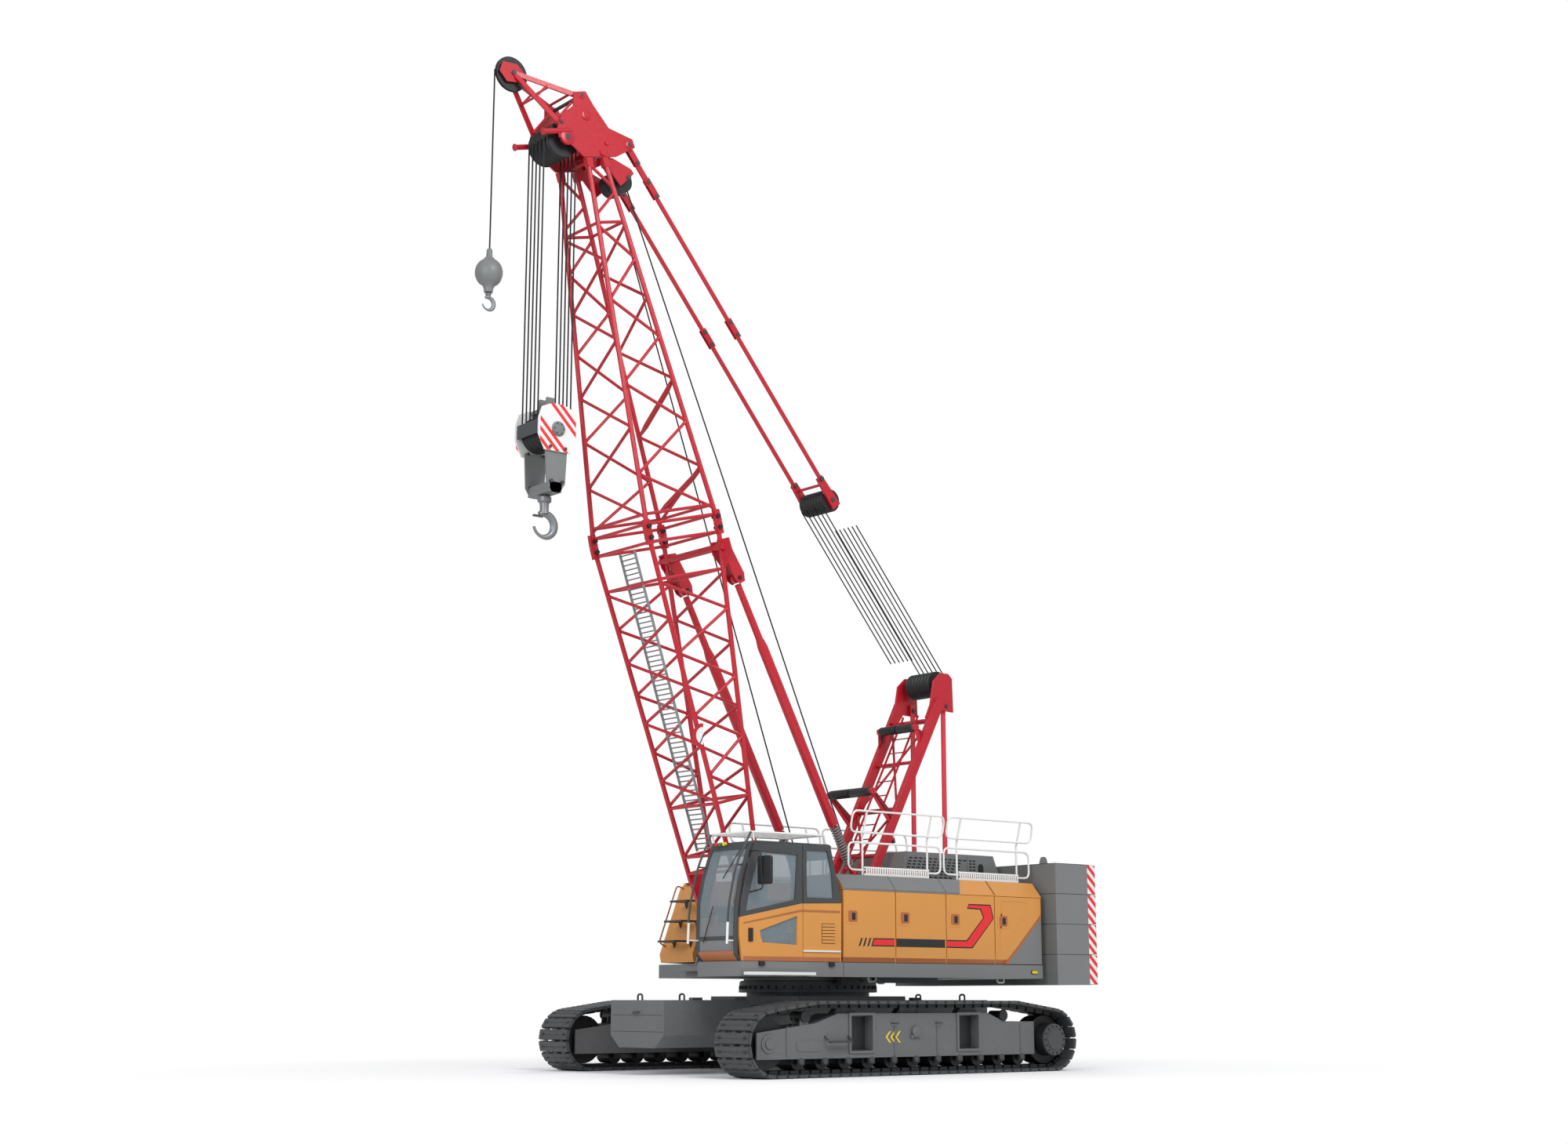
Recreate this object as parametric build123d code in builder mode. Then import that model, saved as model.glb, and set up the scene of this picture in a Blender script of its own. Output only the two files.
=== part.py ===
from build123d import *
from math import acos, atan2, cos, hypot, pi, radians, sin
import os

# Crawler crane with a short lattice boom, in millimetres.
# +X is forwards, +Y is the machine's left (cab) side, +Z is up.
# The origin is the slewing axis at ground level.

# Crawlers
gauge = 4700.0             # between the centre lines of the two tracks
shoe_width = 830.0
shoe_count = 74
shoe_gap = 22.0            # groove between two shoes
shoe_thickness = 52.0
belt_thickness = 56.0      # link belt under the shoes
belt_width = 420.0
wheel_base = 5900.0        # idler axle to sprocket axle
wrap_radius = 500.0        # shoe tips where the track wraps the wheels
top_run_height = 1120.0
top_run_reach = 2100.0     # half the length of the level top run
frame_width = 500.0        # side frame, over its plates
frame_plate = 30.0
frame_top = 930.0
frame_bottom = 274.0
frame_front = 3170.0
frame_rear = 2616.0
roller_radius = 130.0
roller_count = 11
roller_spacing = 465.0
pocket_width = 430.0       # square pockets where the axle beams enter
pocket_height = 520.0
pocket_z = 640.0
axle_x = 1130.0            # axle beams, ahead of and behind the slewing axis

# Carbody and slewing ring
body_half_length = 1150.0
body_half_width = 1120.0
body_bottom = 640.0
body_top = 1190.0
ring_radius = 1110.0
ring_bottom = 1190.0
ring_top = 1440.0
block_front = 3450.0       # carbody counterweights
block_rear = 1760.0
block_half_width = 700.0
block_bottom = 410.0
block_top = 1130.0

# Revolving frame
deck_bottom = 1484.0
deck_top = 1706.0
deck_half_width = 1808.0
deck_rear = -3688.0
bay_half_width = 900.0     # open bay between the two houses
roof_z = 3090.0
eaves_z = 2850.0
roof_half_width = 1600.0
wall = 50.0
door_thickness = 55.0
door_gap = 7.0
door_pitch = 1119.5
house_front = 790.0
step_front = 1720.0

# Cab
cab_inner = 790.0
cab_outer = 1808.0
cab_rear = 830.0
cab_nose = 2880.0
cab_roof = 3530.0
cab_wall = 55.0
cab_seam = 1620.0          # between the door and the rear side panel
cab_floor = deck_top + 0.3

# Counterweight
slab_count = 4
slab_front = -3819.0
slab_rear = -4664.0
slab_half_width = 2030.0
slab_bottom = 1382.0
slab_height = 511.0

# Gantry
gantry_head = (-2770.0, 6610.0)
gantry_foot = (-410.0, 2100.0)
gantry_leg_y = 520.0
gantry_link_y = 393.0
gantry_link_x = -2800.0

# Boom
boom_angle = 75.15
foot_x = 1515.0
foot_z = 2140.0
foot_y = 570.0
boom_joint_s = 6610.0      # pins between the two sections
boom_top_s = 11680.0       # last cross frame below the head
boom_head_s = 12760.0      # end of the main chords
joint_depth = 1434.0
joint_width = 1500.0
base_taper = 0.17          # depth lost for each unit of length towards the foot
frame_offset = 130.0       # cross frames beside the section joint
foot_frame_s = 900.0
foot_frame_width = 1160.0
top_depth = 520.0
top_width = 924.0
chord_dia = 76.0
brace_dia = 45.0
chord_sides = 12           # the chords and lacing are drawn many-sided, to stay light
brace_sides = 8
pin_sides = 12
disc_sides = 32            # wheels, sheaves and winch drums
ring_sides = 72
head_s = 13100.0           # main sheaves
head_n = -500.0
guide_s = 12440.0
guide_n = 610.0
pendant_s = 12970.0
pendant_n = 710.0
tip_s = 14260.0            # auxiliary jib sheave
tip_n = -1040.0
sheave_pitch = 110.0

# Backstops and winches
stop_foot_x = -960.0
stop_foot_z = 2100.0
stop_y = 700.0
winches = ((750.0, 2120.0), (50.0, 2150.0), (-1250.0, 2150.0))

# Ropes
rope_dia = 26.0
rope_sides = 8
pendant_y = 350.0
pendant_length = 6480.0
bridle_length = 420.0
falls_reach = 2700.0       # of the luffing falls, short of the far sheaves
fall_length = 4820.0       # main hook block below the head sheaves
aux_length = 3010.0

fit_gap = 0.3                 # between two pieces that rest on each other
t = radians(boom_angle)
parts = []


def on_boom(s, y, n):
    """Point at s along the boom from its foot pin, y to the left, n towards its back."""
    return Vector(foot_x + s * cos(t) - n * sin(t), y, foot_z + s * sin(t) + n * cos(t))


def side_plane(y):
    """Vertical plane at y with local x forwards and local y up; its normal is -Y."""
    return Plane(origin=(0, y, 0), x_dir=(1, 0, 0), z_dir=(0, -1, 0))


def boom_plane(y):
    """Side plane of the boom at y: local x along the boom, local y towards its back."""
    return Plane(origin=(foot_x, y, foot_z), x_dir=(cos(t), 0, sin(t)), z_dir=(0, -1, 0))


def many_sided(radius, sides, mode):
    """Outline of a disc or pin; a bore is round."""
    if mode == Mode.SUBTRACT:
        Circle(radius)
    else:
        RegularPolygon(radius, sides)


def bar(p, q, dia, sides=pin_sides, mode=Mode.ADD):
    """Many-sided bar from p to q."""
    p, q = Vector(*p), Vector(*q)
    with BuildSketch(Plane(origin=p, x_dir=(0.02, 1, 0.01), z_dir=q - p)) as section:
        many_sided(dia / 2, sides, mode)
    return extrude(section.sketch, amount=(q - p).length, mode=mode)


def flat(p, q, width, thick, up=(0, 1, 0)):
    """Rectangular bar from p to q; its thickness lies along up."""
    p, q = Vector(*p), Vector(*q)
    run = q - p
    side = Vector(*up).cross(run)
    with Locations(Plane(origin=p, x_dir=side, z_dir=run).location):
        Box(width, thick, run.length, align=(Align.CENTER, Align.CENTER, Align.MIN))


def drum(x, z, y0, y1, radius, mode=Mode.ADD, sides=pin_sides, corner=(1, 0, 0)):
    """Disc or pin along Y from y0 to y1, with one of its corners towards the given way."""
    with BuildSketch(Plane(origin=(x, y0, z), x_dir=corner, z_dir=(0, 1, 0))) as section:
        many_sided(radius, sides, mode)
    extrude(section.sketch, amount=y1 - y0, mode=mode)


def post(x, y, z0, z1, radius, sides=pin_sides, mode=Mode.ADD):
    """Upright disc or pin."""
    with BuildSketch(Plane.XY.offset(z0)) as section:
        with Locations((x, y)):
            many_sided(radius, sides, mode)
    extrude(section.sketch, amount=z1 - z0, mode=mode)


def plate(points, y0, y1):
    """Plate with its outline in the side view, from y0 to y1."""
    with BuildSketch(side_plane(y0)) as outline:
        with BuildLine():
            Polyline(*points, close=True)
        make_face()
    extrude(outline.sketch, amount=-(y1 - y0))


def block(x0, x1, y0, y1, z0, z1, mode=Mode.ADD):
    """Box between two corners."""
    with Locations(((x0 + x1) / 2, (y0 + y1) / 2, (z0 + z1) / 2)):
        Box(abs(x1 - x0), abs(y1 - y0), abs(z1 - z0), mode=mode)


def save(part, name):
    part.label = name
    export_step(part, f"parts/{name}.step")
    parts.append(name)


os.makedirs("parts", exist_ok=True)

# Tracks
half_base = wheel_base / 2
reach_x = half_base - top_run_reach
reach_z = top_run_height - wrap_radius
lift = atan2(reach_z, -reach_x) - acos(wrap_radius / hypot(reach_x, reach_z))
corner = (half_base + wrap_radius * cos(lift), wrap_radius + wrap_radius * sin(lift))
slope_length = hypot(corner[0] - top_run_reach, top_run_height - corner[1])
arc_length = wrap_radius * (lift + pi / 2)
track_length = wheel_base + 2 * arc_length + 2 * slope_length + 2 * top_run_reach
shoe_pitch = track_length / shoe_count


def on_track(d, depth):
    """Point at distance d round the track from the rear wheel's foot, depth inside the tips."""
    d = d % track_length
    if d < wheel_base:
        return (-half_base + d, depth)
    d -= wheel_base
    if d < arc_length:
        a = -pi / 2 + d / wrap_radius
        r = wrap_radius - depth
        return (half_base + r * cos(a), wrap_radius + r * sin(a))
    d -= arc_length
    if d < slope_length:
        f = d / slope_length
        return (corner[0] + (top_run_reach - corner[0]) * f - depth * cos(lift),
                corner[1] + (top_run_height - corner[1]) * f - depth * sin(lift))
    d -= slope_length
    if d < 2 * top_run_reach:
        return (top_run_reach - d, top_run_height - depth)
    x, z = on_track(wheel_base + arc_length + slope_length + top_run_reach
                    - (d - top_run_reach), depth)
    return (-x, z)


shoe_outline = []
for i in range(shoe_count):
    start = i * shoe_pitch
    shoe_outline += [
        on_track(start + shoe_gap / 2, shoe_thickness / 2),
        on_track(start + shoe_gap / 2 + 14, 0),
        on_track(start + shoe_pitch - shoe_gap / 2 - 14, 0),
        on_track(start + shoe_pitch - shoe_gap / 2, shoe_thickness / 2),
    ]
shoe_inside = [on_track(i * shoe_pitch, shoe_thickness) for i in range(shoe_count)]
belt_inside = [on_track(i * shoe_pitch, shoe_thickness + belt_thickness)
               for i in range(shoe_count)]
belt_depth = shoe_thickness + belt_thickness

for side, name in ((1, "left"), (-1, "right")):
    centre = side * gauge / 2
    with BuildPart() as track:
        with BuildSketch(side_plane(centre)):
            with BuildLine():
                Polyline(*shoe_outline, close=True)
            make_face()
            with BuildLine():
                Polyline(*shoe_inside, close=True)
            make_face(mode=Mode.SUBTRACT)
        extrude(amount=shoe_width / 2, both=True)
        with BuildSketch(side_plane(centre)):
            with BuildLine():
                Polyline(*shoe_inside, close=True)
            make_face()
            with BuildLine():
                Polyline(*belt_inside, close=True)
            make_face(mode=Mode.SUBTRACT)
        extrude(amount=belt_width / 2, both=True)
    save(track.part, f"track_{name}")

# Side frames
wheel_radius = wrap_radius - belt_depth - 8
for side, name in ((1, "left"), (-1, "right")):
    centre = side * gauge / 2
    outer = centre + side * frame_width / 2
    with BuildPart() as side_frame:
        with BuildSketch(side_plane(centre)):
            with BuildLine():
                Polyline(
                    (frame_front, frame_bottom), (frame_front, 657), (2040, 790),
                    (1608, frame_top), (-1565, frame_top), (-1930, 790),
                    (-frame_rear, 790), (-frame_rear, frame_bottom), close=True)
            make_face()
        extrude(amount=frame_width / 2, both=True)
        inner_width = frame_width - 2 * frame_plate
        block(half_base - wheel_radius - 60, frame_front + 1, centre - inner_width / 2,
              centre + inner_width / 2, 0, 900, mode=Mode.SUBTRACT)
        block(-frame_rear - 1, -half_base + wheel_radius + 60, centre - inner_width / 2,
              centre + inner_width / 2, 0, 900, mode=Mode.SUBTRACT)
        block(-half_base, half_base, centre - inner_width / 2, centre + inner_width / 2,
              0, belt_depth + 2 * roller_radius + 20, mode=Mode.SUBTRACT)
        for x in (axle_x, -axle_x):
            block(x - pocket_width / 2, x + pocket_width / 2, outer - side * 150,
                  outer + side, pocket_z - pocket_height / 2, pocket_z + pocket_height / 2,
                  mode=Mode.SUBTRACT)
        for x in (-1300, 0, 1300):
            block(x - 170, x + 170, centre - 60, centre + 60,
                  frame_top, top_run_height - belt_depth - 0.3)
    save(side_frame.part, f"side_frame_{name}")

# Rollers, idler and drive wheel
for side, name in ((1, "left"), (-1, "right")):
    centre = side * gauge / 2
    roller_z = belt_depth + 0.3 + roller_radius
    with BuildPart() as gear:
        for i in range(roller_count):
            x = (i - (roller_count - 1) / 2) * roller_spacing
            drum(x, roller_z, centre - 170, centre + 170, roller_radius, sides=16)
            drum(x, roller_z, centre - 240, centre + 240, 34, sides=8)
            for s in (-1, 1):
                y = centre + s * (frame_width / 2 - 15)
                block(x - 70, x + 70, y - 15, y + 15, roller_z - 55, frame_bottom - 0.3)
        drum(half_base, wrap_radius, centre - 150, centre + 150, wheel_radius, sides=disc_sides)
        drum(half_base, wrap_radius, centre - frame_width / 2 + frame_plate + 0.3,
             centre + frame_width / 2 - frame_plate - 0.3, 110)
        drum(-half_base, wrap_radius, centre - 150, centre + 150, wheel_radius,
             sides=disc_sides)
        drum(-half_base, wrap_radius, centre - side * 210, centre + side * 360, 260,
             sides=disc_sides)
    save(gear.part, f"running_gear_{name}")

# Carbody
inner_frame_y = gauge / 2 - frame_width / 2
with BuildPart() as carbody:
    block(-body_half_length, body_half_length, -body_half_width, body_half_width,
          body_bottom, body_top)
    for x in (axle_x, -axle_x):
        block(x - pocket_width / 2 + 10, x + pocket_width / 2 - 10, -inner_frame_y + 0.3,
              inner_frame_y - 0.3, pocket_z - pocket_height / 2 + 10,
              pocket_z + pocket_height / 2 - 10)
    for s in (-1, 1):
        block(s * body_half_length, s * (block_rear - 0.3), -350, 350, 700, 1050)
save(carbody.part, "carbody")

with BuildPart() as slew_ring:
    post(0, 0, ring_bottom, ring_bottom + 60, ring_radius - 100, ring_sides)
    with Locations((0, 0, ring_bottom + 60)):
        Cylinder(ring_radius, ring_top - ring_bottom - 60,
                 align=(Align.CENTER, Align.CENTER, Align.MIN))
save(slew_ring.part, "slew_ring")

with BuildPart() as body_weights:
    for s in (-1, 1):
        with BuildSketch(Plane(origin=(s * block_rear, 0, 0), x_dir=(0, 1, 0),
                               z_dir=(1, 0, 0))) as outline:
            with BuildLine():
                Polyline(
                    (-block_half_width, block_bottom + 190), (-block_half_width, block_top),
                    (block_half_width, block_top), (block_half_width, block_bottom + 190),
                    (block_half_width - 230, block_bottom),
                    (-block_half_width + 230, block_bottom), close=True)
            make_face()
        extrude(outline.sketch, amount=s * (block_front - block_rear))
save(body_weights.part, "carbody_weights")

# Revolving frame
with BuildPart() as turntable:
    with BuildSketch(Plane.XY.offset(deck_bottom)):
        with BuildLine():
            Polyline(
                (deck_rear, -deck_half_width), (step_front, -deck_half_width),
                (step_front, -bay_half_width + 50), (1950, -760), (1950, 760),
                (2860, 760), (2860, deck_half_width), (deck_rear, deck_half_width),
                close=True)
        make_face()
    extrude(amount=deck_top - deck_bottom)
    post(0, 0, ring_top + fit_gap, deck_bottom, ring_radius - 50, ring_sides)
    block(slab_front + 0.3, deck_rear, -750, 750, deck_bottom, 2300)
    for s in (-1, 1):
        for y in (s * (foot_y - 60), s * (foot_y + 60)):
            plate([(1200, deck_top), (1850, deck_top), (foot_x + 150, foot_z + 60),
                   (foot_x + 60, foot_z + 150), (foot_x - 60, foot_z + 150),
                   (foot_x - 150, foot_z + 60)], y - 20, y + 20)
        drum(foot_x, foot_z, s * foot_y - 90, s * foot_y + 90, 50)
        for y in (s * (gantry_leg_y - 70), s * (gantry_leg_y + 70)):
            plate([(gantry_foot[0] - 180, deck_top), (gantry_foot[0] + 180, deck_top),
                   (gantry_foot[0] + 90, gantry_foot[1] + 90),
                   (gantry_foot[0] - 90, gantry_foot[1] + 90)], y - 15, y + 15)
        drum(*gantry_foot, s * gantry_leg_y - 90, s * gantry_leg_y + 90, 40)
        for y in (s * (stop_y - 65), s * (stop_y + 65)):
            plate([(stop_foot_x - 150, deck_top), (stop_foot_x + 150, deck_top),
                   (stop_foot_x + 60, stop_foot_z + 60), (stop_foot_x - 60, stop_foot_z + 60)],
                  y - 10, y + 10)
        drum(stop_foot_x, stop_foot_z, s * stop_y - 80, s * stop_y + 80, 30)
    for x, z in winches:
        for y in (-410, 410):
            plate([(x - 200, deck_top), (x + 200, deck_top), (x + 90, z + 90), (x - 90, z + 90)],
                  y - 15, y + 15)
        drum(x, z, -425, 425, 60)
    for s, bays in ((1, (0, 1, 2, 3)), (-1, (1, 2))):
        for i in bays:
            axis_x = deck_rear + i * door_pitch + 12 + door_gap / 2
            post(axis_x, s * (deck_half_width - 12), deck_top, deck_top + 30, 6, brace_sides)
save(turntable.part, "turntable")

# Houses
door_bottom = deck_top + door_gap
door_top = eaves_z - 20
for side, name in ((1, "left"), (-1, "right")):
    length = house_front - deck_rear
    with BuildPart() as house:
        def section(inset):
            return [
                (side * (bay_half_width + inset), deck_top + 0.3),
                (side * (deck_half_width - inset), deck_top + 0.3),
                (side * (deck_half_width - inset), eaves_z),
                (side * (roof_half_width - inset), roof_z - inset),
                (side * (bay_half_width + inset), roof_z - inset),
            ]
        with BuildSketch(Plane(origin=(deck_rear, 0, 0), x_dir=(0, 1, 0),
                               z_dir=(1, 0, 0))) as outer_face:
            with BuildLine():
                Polyline(*section(0), close=True)
            make_face()
        extrude(outer_face.sketch, amount=length)
        with BuildSketch(Plane(origin=(deck_rear + wall, 0, 0), x_dir=(0, 1, 0),
                               z_dir=(1, 0, 0))) as inner_face:
            with BuildLine():
                Polyline(*section(wall), close=True)
            make_face()
        extrude(inner_face.sketch, amount=length - 2 * wall, mode=Mode.SUBTRACT)
        first, last = (0, 4) if side == 1 else (1, 3)
        x0 = deck_rear + first * door_pitch
        x1 = deck_rear + last * door_pitch
        block(x0, x1, side * (deck_half_width - door_thickness - 10),
              side * (deck_half_width + 1), deck_top, door_top + door_gap,
              mode=Mode.SUBTRACT)
    save(house.part, f"house_{name}")

for side, names in ((1, ("left_4", "left_3", "left_2", "left_1")),
                    (-1, (None, "right_2", "right_1", None))):
    for i, name in enumerate(names):
        if name is None:
            continue
        x0 = deck_rear + i * door_pitch + door_gap / 2
        x1 = deck_rear + (i + 1) * door_pitch - door_gap / 2
        y_out = side * deck_half_width
        y_in = side * (deck_half_width - door_thickness)
        with BuildPart() as door:
            block(x0, x1, y_in, y_out, door_bottom, door_top)
            rear_edge = door.edges().filter_by(Axis.Z).filter_by_position(
                Axis.X, x0 - 1, x0 + 1).sort_by(Axis.Y)[-1 if side == 1 else 0]
            fillet(rear_edge, 11.9)
            post(x0 + 12, y_out - side * 12, deck_top, deck_top + 35, 6.3, brace_sides,
                 Mode.SUBTRACT)
        save(door.part, f"house_door_{name}")

with BuildPart() as hood:
    with BuildSketch(side_plane(-800)) as outline:
        with BuildLine():
            Polyline((-1250, roof_z - 200), (-1500, 3590), (-3560, 3590),
                     (deck_rear, roof_z + 200), (deck_rear, roof_z - 200), close=True)
        make_face()
    extrude(outline.sketch, amount=-1600)
    with BuildSketch(side_plane(-760)) as outline:
        with BuildLine():
            Polyline((-1300, roof_z - 201), (-1540, 3550), (-3530, 3550),
                     (deck_rear + 40, roof_z + 190), (deck_rear + 40, roof_z - 201),
                     close=True)
        make_face()
    extrude(outline.sketch, amount=-1520, mode=Mode.SUBTRACT)
    for s in (-1, 1):
        block(gantry_link_x - 90, gantry_link_x + 90, s * gantry_link_y - 50,
              s * gantry_link_y + 50, 3500, 3600, mode=Mode.SUBTRACT)
    block(-1400, deck_rear, -899.7, -800, roof_z - 200, roof_z - 160)
    block(-1400, deck_rear, 899.7, 800, roof_z - 200, roof_z - 160)
save(hood.part, "engine_hood")

with BuildPart() as engine:
    block(-3300, -1700, -330, 330, deck_top + 0.3, 2750)
save(engine.part, "engine")

with BuildPart() as step_box:
    plate([(house_front + 0.3, deck_top + 0.3), (1700, deck_top + 0.3), (step_front, 1870),
           (1290, 2980), (1200, 3060), (house_front + 0.3, 3060)], -1808, -bay_half_width)
    for i in range(3):
        z = 1960 + i * 290
        x = step_front - (z - 1870) * 430 / 1110
        block(x - 60, x + 230, -1350, -950, z - 110, z)
save(step_box.part, "step_box")

# Cab
def cab_outline(inset):
    """Side outline of the cab, set in from its skin."""
    with BuildLine() as line:
        low = (cab_nose - inset, cab_floor + inset)
        high = (2600 - inset, cab_roof - 40 - inset)
        front = ThreePointArc(low, (cab_nose + 35 - inset, 2550), high)
        Polyline(front @ 1, (2500, cab_roof - inset), (1080 + inset, cab_roof - inset),
                 (1010 + inset, cab_roof - 90), (cab_rear - 10 + inset, 2630),
                 (cab_rear + inset, cab_floor + inset), front @ 0)
    return line.line


with BuildPart() as cab:
    with BuildSketch(side_plane(cab_inner)) as outline:
        with BuildLine():
            add(cab_outline(0))
        make_face()
    extrude(outline.sketch, amount=-(cab_outer - cab_inner))
    with BuildSketch(side_plane(cab_inner + cab_wall)) as outline:
        with BuildLine():
            add(cab_outline(cab_wall))
        make_face()
    extrude(outline.sketch, amount=-(cab_outer - cab_inner - 2 * cab_wall),
            mode=Mode.SUBTRACT)
    # Windscreen, door opening, side and rear windows
    block(2450, 3000, cab_inner + 60, cab_outer - 60, 1900, 3420, mode=Mode.SUBTRACT)
    block(cab_seam + 40, 2500, cab_outer - cab_wall - 1, cab_outer + 1, 1780, 3400,
          mode=Mode.SUBTRACT)
    block(1100, 1530, cab_outer - cab_wall - 1, cab_outer + 1, 2700, 3380,
          mode=Mode.SUBTRACT)
    block(1150, 2350, cab_inner - 1, cab_inner + cab_wall + 1, 2500, 3380,
          mode=Mode.SUBTRACT)
    block(700, 1100, cab_inner + 120, cab_outer - 120, 2750, 3350, mode=Mode.SUBTRACT)
save(cab.part, "cab_shell")

with BuildPart() as cab_door:
    block(cab_seam + 44, 2496, cab_outer - cab_wall + 4, cab_outer, 1780.3, 3396)
    block(1740, 2440, cab_outer - cab_wall, cab_outer + 1, 2560, 3330, mode=Mode.SUBTRACT)
save(cab_door.part, "cab_door")

with BuildPart() as glass:
    block(1740.3, 2439.7, cab_outer - 40, cab_outer - 32, 2560.3, 3329.7)
    block(1100.3, 1529.7, cab_outer - 40, cab_outer - 32, 2700.3, 3379.7)
    block(1150.3, 2349.7, cab_inner + 32, cab_inner + 40, 2500.3, 3379.7)
save(glass.part, "cab_glass")

with BuildPart() as chair:
    block(1250, 1750, 1050, 1550, cab_floor + cab_wall + 0.3, 2150)
    block(1150, 1300, 1050, 1550, 2150, 2850)
save(chair.part, "operator_seat")

# Counterweight
with BuildPart() as slabs:
    for i in range(slab_count):
        z0 = slab_bottom + i * slab_height
        block(slab_rear, slab_front, -slab_half_width, slab_half_width, z0 + 0.4,
              z0 + slab_height)
save(slabs.part, "counterweight")

# Winch drums
for name, (x, z) in zip(("luffing_drum", "main_drum", "aux_drum"), winches):
    with BuildPart() as winch:
        drum(x, z, -380, 380, 190, sides=disc_sides)
        for s in (-1, 1):
            drum(x, z, s * 350 - 15, s * 350 + 15, 290, sides=disc_sides)
        drum(x, z, -381, 381, 60.3, Mode.SUBTRACT)
    save(winch.part, name)

# Gantry
head_x, head_z = gantry_head
pin = on_boom(pendant_s, 0, pendant_n)
luff_dir = Vector(head_x - pin.X, 0, head_z - pin.Z).normalized()
side_dir = luff_dir.cross(Vector(0, 1, 0))
bridle_pin = pin + luff_dir * pendant_length
bridle_axis = pin + luff_dir * (pendant_length + bridle_length)

leg_run = Vector(head_x - gantry_foot[0], 0, head_z - gantry_foot[1])
with BuildPart() as gantry:
    for s in (-1, 1):
        flat((gantry_foot[0], s * gantry_leg_y, gantry_foot[1]),
             (head_x + 110, s * gantry_leg_y, head_z - 200), 150, 90)
        drum(*gantry_foot, s * gantry_leg_y - 45, s * gantry_leg_y + 45, 75)
        drum(*gantry_foot, s * gantry_leg_y - 46, s * gantry_leg_y + 46, 40.3, Mode.SUBTRACT)
        plate([(head_x - 200, head_z - 500), (head_x - 200, head_z + 130),
               (head_x + 200, head_z + 130), (head_x + 330, head_z - 500)],
              s * (gantry_leg_y - 60) - 20, s * (gantry_leg_y - 60) + 20)
    for f in (0.3, 0.5, 0.7, 0.85):
        p = Vector(gantry_foot[0], 0, gantry_foot[1]) + leg_run * f
        bar((p.X, -gantry_leg_y, p.Z), (p.X, gantry_leg_y, p.Z), 60)
    drum(head_x, head_z, -450, 450, 60)
save(gantry.part, "gantry")

with BuildPart() as links:
    for s in (-1, 1):
        flat((gantry_link_x, s * gantry_link_y, deck_top + 0.3),
             (gantry_link_x, s * gantry_link_y, head_z - 300), 90, 30)
save(links.part, "gantry_links")

with BuildPart() as gantry_sheaves:
    drum(head_x, head_z, -310, 310, 225, sides=disc_sides, corner=side_dir)
    drum(head_x, head_z, -311, 311, 60.3, Mode.SUBTRACT)
save(gantry_sheaves.part, "gantry_sheaves")

# Boom
def section_size(s):
    """Depth and width over chord centres at s along the boom."""
    if s <= boom_joint_s:
        depth = joint_depth - base_taper * (boom_joint_s - s)
        f = (s - foot_frame_s) / (boom_joint_s - foot_frame_s)
        return depth, foot_frame_width + (joint_width - foot_frame_width) * f
    f = (s - boom_joint_s) / (boom_top_s - boom_joint_s)
    return (joint_depth + (top_depth - joint_depth) * f,
            joint_width + (top_width - joint_width) * f)


def chord(s, side, back):
    """Point on a main chord; side is -1 or 1 across, back is -1 (front) or 1 (rear)."""
    depth, width = section_size(s)
    return on_boom(s, side * width / 2, back * depth / 2)


def lattice(chord_from, chord_to, s0, s1, bays):
    """Two side frames of chords and zigzag bracing, joined by lacing on the front and back."""
    step = (s1 - s0) / bays
    nodes = [s0 + i * step for i in range(bays + 1)]
    envelopes = []
    for side in (-1, 1):
        frame = []
        for back in (-1, 1):
            ends = chord(chord_from, side, back), chord(chord_to, side, back)
            frame.append(bar(*ends, chord_dia, chord_sides, Mode.PRIVATE))
            envelopes.append(bar(*ends, chord_dia + 2 * fit_gap, chord_sides, Mode.PRIVATE))
        for i, (a, b) in enumerate(zip(nodes, nodes[1:])):
            first = 1 if i % 2 else -1
            frame.append(bar(chord(a, side, first), chord(b, side, -first), brace_dia,
                             brace_sides, Mode.PRIVATE))
        for a in (s0, s1):
            frame.append(bar(chord(a, side, -1), chord(a, side, 1), brace_dia,
                             brace_sides, Mode.PRIVATE))
        add(frame)
    for back in (-1, 1):
        lacing = []
        for i, (a, b) in enumerate(zip(nodes, nodes[1:])):
            first = 1 if i % 2 else -1
            lacing.append(bar(chord(a, first, back), chord(b, -first, back), brace_dia,
                              brace_sides, Mode.PRIVATE))
        for a in (s0, s1):
            lacing.append(bar(chord(a, -1, back), chord(a, 1, back), brace_dia,
                              brace_sides, Mode.PRIVATE))
        face = lacing[0].fuse(*lacing[1:]) - envelopes
        add(face)


def pin_lugs(s):
    """Square lugs on the four chords, reaching from s to the section joint."""
    length = boom_joint_s - s
    for side in (-1, 1):
        for back in (-1, 1):
            with Locations(Plane(origin=on_boom(s, side * joint_width / 2,
                                                back * joint_depth / 2),
                                 x_dir=(0, 1, 0), z_dir=(cos(t), 0, sin(t))).location):
                Box(80, 110, abs(length) - fit_gap / 2,
                    align=(Align.CENTER, Align.CENTER, Align.MIN if length > 0 else Align.MAX))


with BuildPart() as boom_base:
    lattice(foot_frame_s, boom_joint_s - 60, foot_frame_s + 160, boom_joint_s - frame_offset, 8)
    pin_lugs(boom_joint_s - 90)
    for side in (-1, 1):
        y = side * foot_y
        with BuildSketch(boom_plane(y + 35)) as outline:
            with BuildLine():
                Polyline((-60, -80), (foot_frame_s + 100, -260), (foot_frame_s + 100, 260),
                         (-60, 80), close=True)
            make_face()
        extrude(outline.sketch, amount=70)
        drum(foot_x, foot_z, y - 35, y + 35, 110)
        drum(foot_x, foot_z, y - 40, y + 40, 50.3, mode=Mode.SUBTRACT)
save(boom_base.part, "boom_base")

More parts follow.
